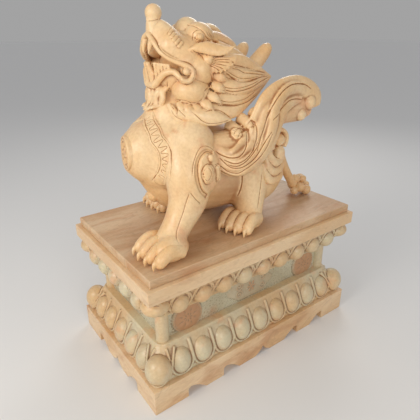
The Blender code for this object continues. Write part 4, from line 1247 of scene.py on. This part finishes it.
def make_foot():
    half_x, half_y = HALF_X + FOOT_OVERHANG, HALF_Y + FOOT_OVERHANG
    foot = new_object("foot_course", box_mesh((-half_x, -half_y, 0), (half_x, half_y, FOOT_HEIGHT)))
    cutters = []
    for turn, distance, half in SIDES:
        bm = bmesh.new()
        for lobe in range(2 if turn % 180 else 1):
            outline = lobe_outline(half + FOOT_OVERHANG - LOBE_FROM_END - LOBE_PITCH * lobe)
            for side in (1, -1):
                extrude(bm, [(side * x, z) for x, z in outline])
        extrude(bm, arch_outline())
        bmesh.ops.recalc_face_normals(bm, faces=bm.faces[:])
        bmesh.ops.transform(bm, matrix=side_place(turn, distance + FOOT_OVERHANG), verts=bm.verts[:])
        cutters.append(new_object("cutter", bm))
        cut = foot.modifiers.new("Cut", "BOOLEAN")
        cut.operation = "DIFFERENCE"
        cut.solver = "EXACT"
        cut.object = cutters[-1]
    apply_modifiers(foot)
    edge = foot.modifiers.new("Edge", "BEVEL")
    edge.width = 0.0022
    edge.segments = 2
    edge.limit_method = "ANGLE"
    edge.angle_limit = math.radians(35)
    apply_modifiers(foot)
    for cutter in cutters:
        bpy.data.objects.remove(cutter)
    return foot


def extrude(bm, outline):
    skin(bm, [[(x, y, z) for x, z in outline] for y in (-PAST_FACE, RECESS_DEPTH)])


def spiral(centre, turns, size, hand):
    angles = np.linspace(0, math.tau * turns, 48)
    radii = size * (1 - angles / angles[-1] * 0.86)
    across = centre[0] + radii * np.cos(hand * angles)
    return np.stack([across, centre[1] + radii * np.sin(hand * angles)], axis=1)


def ridge(u, v, path, width, height):
    """A rounded ridge along a path in the panel's plane."""
    gap = np.full(u.shape, 1e9)
    for x, y in path:
        gap = np.minimum(gap, (u - x) ** 2 + (v - y) ** 2)
    return height * np.exp(-gap / width**2)


def plateau(distance, edge, soft, height):
    """Flat up to the edge, with a soft drop there."""
    return height / (1 + np.exp((distance - edge) / soft))


def bump(distance, width, height):
    return height * np.exp(-((distance / width) ** 2))


def blossom(distance, radius, height):
    """A ring that swells halfway out to the radius."""
    return np.where(distance < radius, height * np.sin(math.pi * np.clip(distance / radius, 0, 1)), 0)


def disc_relief(du, dv):
    """A disc with a groove near its edge and a double blossom."""
    r, angle = np.hypot(du, dv), np.arctan2(dv, du)
    disc = plateau(r, DISC_RADIUS, 0.0009, 0.0085) - bump(r - 0.0515, 0.0014, 0.0022)
    bloom = 0.5 + 0.5 * np.cos(8 * angle + 0.6 * np.sin(2 * angle))
    swell = np.sin(math.pi * np.clip((r - 0.012) / 0.035, 0, 1))
    petals = np.where((r > 0.012) & (r < 0.047), 0.0032 * bloom**0.6 * swell, 0)
    petals += blossom(r, 0.026, 0.0026 * (0.5 + 0.5 * np.cos(8 * angle + math.pi)))
    petals += bump(r, 0.0065, 0.0035)
    return disc + np.where(r < 0.05, petals, 0)


def panel_relief(u, v, half, long_side):
    """Heights over the panel's ground, from places along it and above its foot."""
    middle = (WAIST_TOP - LOWER_LOTUS_TOP) / 2
    end = half - 0.024
    border = 0.010 + 0.012 * np.clip(1 - np.abs(np.abs(u) - end) / 0.035, 0, 1) ** 2
    border += 0.006 * np.clip(1 - np.abs(np.abs(u) - end + 0.030) / 0.008, 0, 1)
    height = plateau(v, border, 0.0007, 0.0030)
    if long_side:
        for sign in (1, -1):
            height = np.maximum(height, disc_relief(u - sign * DISC_PLACE, v - (middle - 0.006)))
    reach = 0.105 if long_side else 0.085
    cloud = np.abs(u / reach) ** 2 + np.abs((v - middle) / 0.046) ** 2
    cloud -= 0.22 * np.cos(3 * np.arctan2((v - middle) * 2, u)) ** 2
    boss = plateau(cloud, 0.9, 0.03, 0.0042)
    for sign in (1, -1):
        for rise in (1, -1):
            curl = spiral((sign * reach * 0.55, middle + rise * 0.017), 1.4, 0.017, sign * rise)
            boss += ridge(u, v, curl, 0.0024, 0.0034) * (cloud < 1.15)
    bud = np.hypot(u, (v - middle) * 0.8)
    leaves = 0.5 + 0.5 * np.cos(6 * np.arctan2(v - middle, u))
    boss += blossom(bud, 0.026, 0.0036 * leaves**0.5)
    boss += bump(bud, 0.006, 0.003)
    return np.maximum(height, boss)


def panel_faces(rows, columns):
    """Quads between the points of the front, then its edges joined to the four corners behind."""
    faces = []
    for row in range(rows - 1):
        for column in range(columns - 1):
            a = row * columns + column
            faces.append((a, a + 1, a + columns + 1, a + columns))
    base = rows * columns
    bottom = range(columns)
    top = range(base - columns, base)
    left = range(0, base, columns)
    right = range(columns - 1, base, columns)
    faces.append((*bottom[::-1], base, base + 1))
    faces.append((*top, base + 2, base + 3))
    faces.append((*left, base + 3, base))
    faces.append((*right[::-1], base + 1, base + 2))
    faces.append((base, base + 3, base + 2, base + 1))
    return faces


def make_panel(turn, distance, half):
    """A sunk panel: a fine grid with its ornament raised and its ground stippled, closed behind."""
    width = half - WAIST_INSET
    low, high = LOWER_LOTUS_TOP - 0.006, WAIST_TOP + 0.010
    columns, rows = int(2 * width / PANEL_CELL), int((high - low) / PANEL_CELL)
    u, height = np.meshgrid(np.linspace(-width, width, columns), np.linspace(low, high, rows))
    raised = panel_relief(u, height - LOWER_LOTUS_TOP, width, width > DISC_PLACE)
    rough = np.random.default_rng(11).normal(0, 1, raised.shape)
    rough = (rough + np.roll(rough, 1, 0) + np.roll(rough, 1, 1) + np.roll(rough, 1, (0, 1))) / 4
    raised = raised + np.where(raised < GROUND_HEIGHT, 0.0011 * rough, 0.00008 * rough)
    front = np.stack([u, -raised, height], axis=2).reshape(-1, 3)
    back = [(x, PANEL_DEPTH, z) for x, z in ((-width, low), (width, low), (width, high), (-width, high))]
    mesh = bpy.data.meshes.new("panel")
    mesh.from_pydata(np.vstack([front, back]).tolist(), [], panel_faces(rows, columns))
    panel = add_object(f"panel_{turn}", mesh)
    mesh.transform(side_place(turn, distance - WAIST_INSET))
    blush = np.clip(raised / 0.006, 0, 0.3) + 0.6 * (raised > 0.0068)
    store(mesh, "blush", np.concatenate([blush.ravel(), np.zeros(len(back))]))
    paint_patina_and_light(panel)
    return panel


def make_colonnettes():
    """Four round posts with a spreading foot and head, at the waist's corners."""
    bm = bmesh.new()
    profile = (
        (LOWER_LOTUS_TOP - 0.012, 0.0245), (LOWER_LOTUS_TOP + 0.004, 0.0245),
        (LOWER_LOTUS_TOP + 0.009, 0.0222), (LOWER_LOTUS_TOP + 0.06, 0.0218),
        (WAIST_TOP + 0.035, 0.0222), (WAIST_TOP + 0.05, 0.0236), (WAIST_TOP + 0.065, 0.0236),
    )
    rows = smooth_rows(profile, 6)
    turns = [math.tau * step / 48 for step in range(48)]
    for x in (HALF_X - WAIST_INSET, WAIST_INSET - HALF_X):
        for y in (HALF_Y - WAIST_INSET, WAIST_INSET - HALF_Y):
            skin(bm, [[(x + r * math.cos(t), y + r * math.sin(t), z) for t in turns] for z, r in rows])
    bmesh.ops.recalc_face_normals(bm, faces=bm.faces[:])
    return new_object("colonnettes", bm)


def make_block(name, low, high, bevel, node, stone):
    """A plain course with rounded edges, painted paler there as a highlight."""
    piece = new_object(name, box_mesh(low, high, bevel))
    paint_edge_highlight(piece)
    dress(piece, node, stone)


def make_plinth():
    slab_x, slab_y = HALF_X - SLAB_INSET, HALF_Y - SLAB_INSET
    slab_low, slab_high = (-slab_x, -slab_y, CAP_TOP + BED_GAP), (slab_x, slab_y, SLAB_TOP)
    make_block("slab", slab_low, slab_high, 0.004, "pixiu", SLAB_STONE)
    cap_low, cap_high = (-HALF_X, -HALF_Y, CAP_BOTTOM), (HALF_X, HALF_Y, CAP_TOP)
    make_block("cap", cap_low, cap_high, 0.003, "pedestal", CAP_STONE)
    dress(make_foot(), "pedestal", CAP_STONE)
    lower = lotus_belt(
        "lower_lotus", FOOT_HEIGHT, LOWER_LOTUS_TOP, HALF_X + FOOT_OVERHANG, HALF_Y + FOOT_OVERHANG,
        bulb=(0.45, 0.036, 0.0372, 0.031, 0.0450),
        corner=(0.46, 0.038, 0.0430, 0.043, 0.0500),
        rims=((0.0418, 0.98, 0.46, 0.0034),),
    )
    upper = lotus_belt(
        "upper_lotus", CAP_BOTTOM, WAIST_TOP, HALF_X, HALF_Y,
        bulb=(0.52, 0.030, 0.0335, 0.0290, 0.0330),
        corner=(0.34, 0.042, 0.0440, 0.044, 0.0290),
        rims=((0.0412, 0.95, 0.50, 0.0028), (0.0340, 0.90, 0.54, 0.0020)),
    )
    for belt in (lower, upper):
        thinned(belt, BELT_TRIANGLES)
        # Stronger patina and painted shade in the belts' creases.
        paint_patina_and_light(belt, crease_patina_and_shade=6.0)
        dress(belt, "pedestal", PLINTH_STONE)
    posts = make_colonnettes()
    paint_patina_and_light(posts)
    dress(posts, "pedestal", PLINTH_STONE)
    for panel in [make_panel(*side) for side in SIDES]:
        dress(panel, "pedestal", PANEL_STONE)


def make_setting():
    bm = bmesh.new()
    bmesh.ops.create_grid(bm, x_segments=1, y_segments=1, size=40)
    floor = new_object("floor", bm)
    ground = bpy.data.materials.new("floor_paint")
    ground.use_nodes = True
    paint = ground.node_tree.nodes["Principled BSDF"].inputs
    paint["Base Color"].default_value = (0.80, 0.79, 0.77, 1)
    paint["Roughness"].default_value = 0.8
    floor.data.materials.append(ground)
    world = bpy.context.scene.world or bpy.data.worlds.new("World")
    bpy.context.scene.world = world
    world.use_nodes = True
    nodes, links = world.node_tree.nodes, world.node_tree.links
    sky = nodes["Background"]
    sky.inputs["Color"].default_value = (0.96, 0.97, 1.0, 1)
    sky.inputs["Strength"].default_value = 0.45
    wall = nodes.new("ShaderNodeBackground")
    wall.inputs["Color"].default_value = (0.365, 0.364, 0.365, 1)
    ray = nodes.new("ShaderNodeLightPath")
    shown = nodes.new("ShaderNodeMixShader")
    links.new(ray.outputs["Is Camera Ray"], shown.inputs[0])
    links.new(sky.outputs[0], shown.inputs[1])
    links.new(wall.outputs[0], shown.inputs[2])
    links.new(shown.outputs[0], nodes["World Output"].inputs["Surface"])
    bpy.context.scene.view_settings.view_transform = "Standard"
    for name, place, size, power, colour in (
        ("key", (0.4, -3.0, 2.0), 1.7, 48, (1.0, 0.96, 0.90)),
        ("front", (3.0, -1.1, 1.7), 1.8, 29, (1.0, 0.97, 0.92)),
        ("rim", (-1.8, 2.2, 2.6), 1.6, 22, (1.0, 0.98, 0.95)),
    ):
        light = bpy.data.lights.new(name, "AREA")
        light.shape = "DISK"
        light.size = size
        light.energy = power
        light.color = colour
        lamp = add_object(name, light)
        lamp.location = place
        lamp.rotation_euler = (Vector(place) - Vector((0, -0.05, 0.6))).to_track_quat("Z", "Y").to_euler()
    camera = add_object("camera", bpy.data.cameras.new("camera"))
    camera.data.lens = LENS
    camera.data.sensor_width = SENSOR_WIDTH
    camera.data.dof.use_dof = False
    turn = Matrix((RIGHT, UP, BACK)).transposed()
    camera.matrix_world = Matrix.Translation(EYE) @ turn.to_4x4()
    bpy.context.scene.camera = camera


make_setting()
make_beast()
make_plinth()
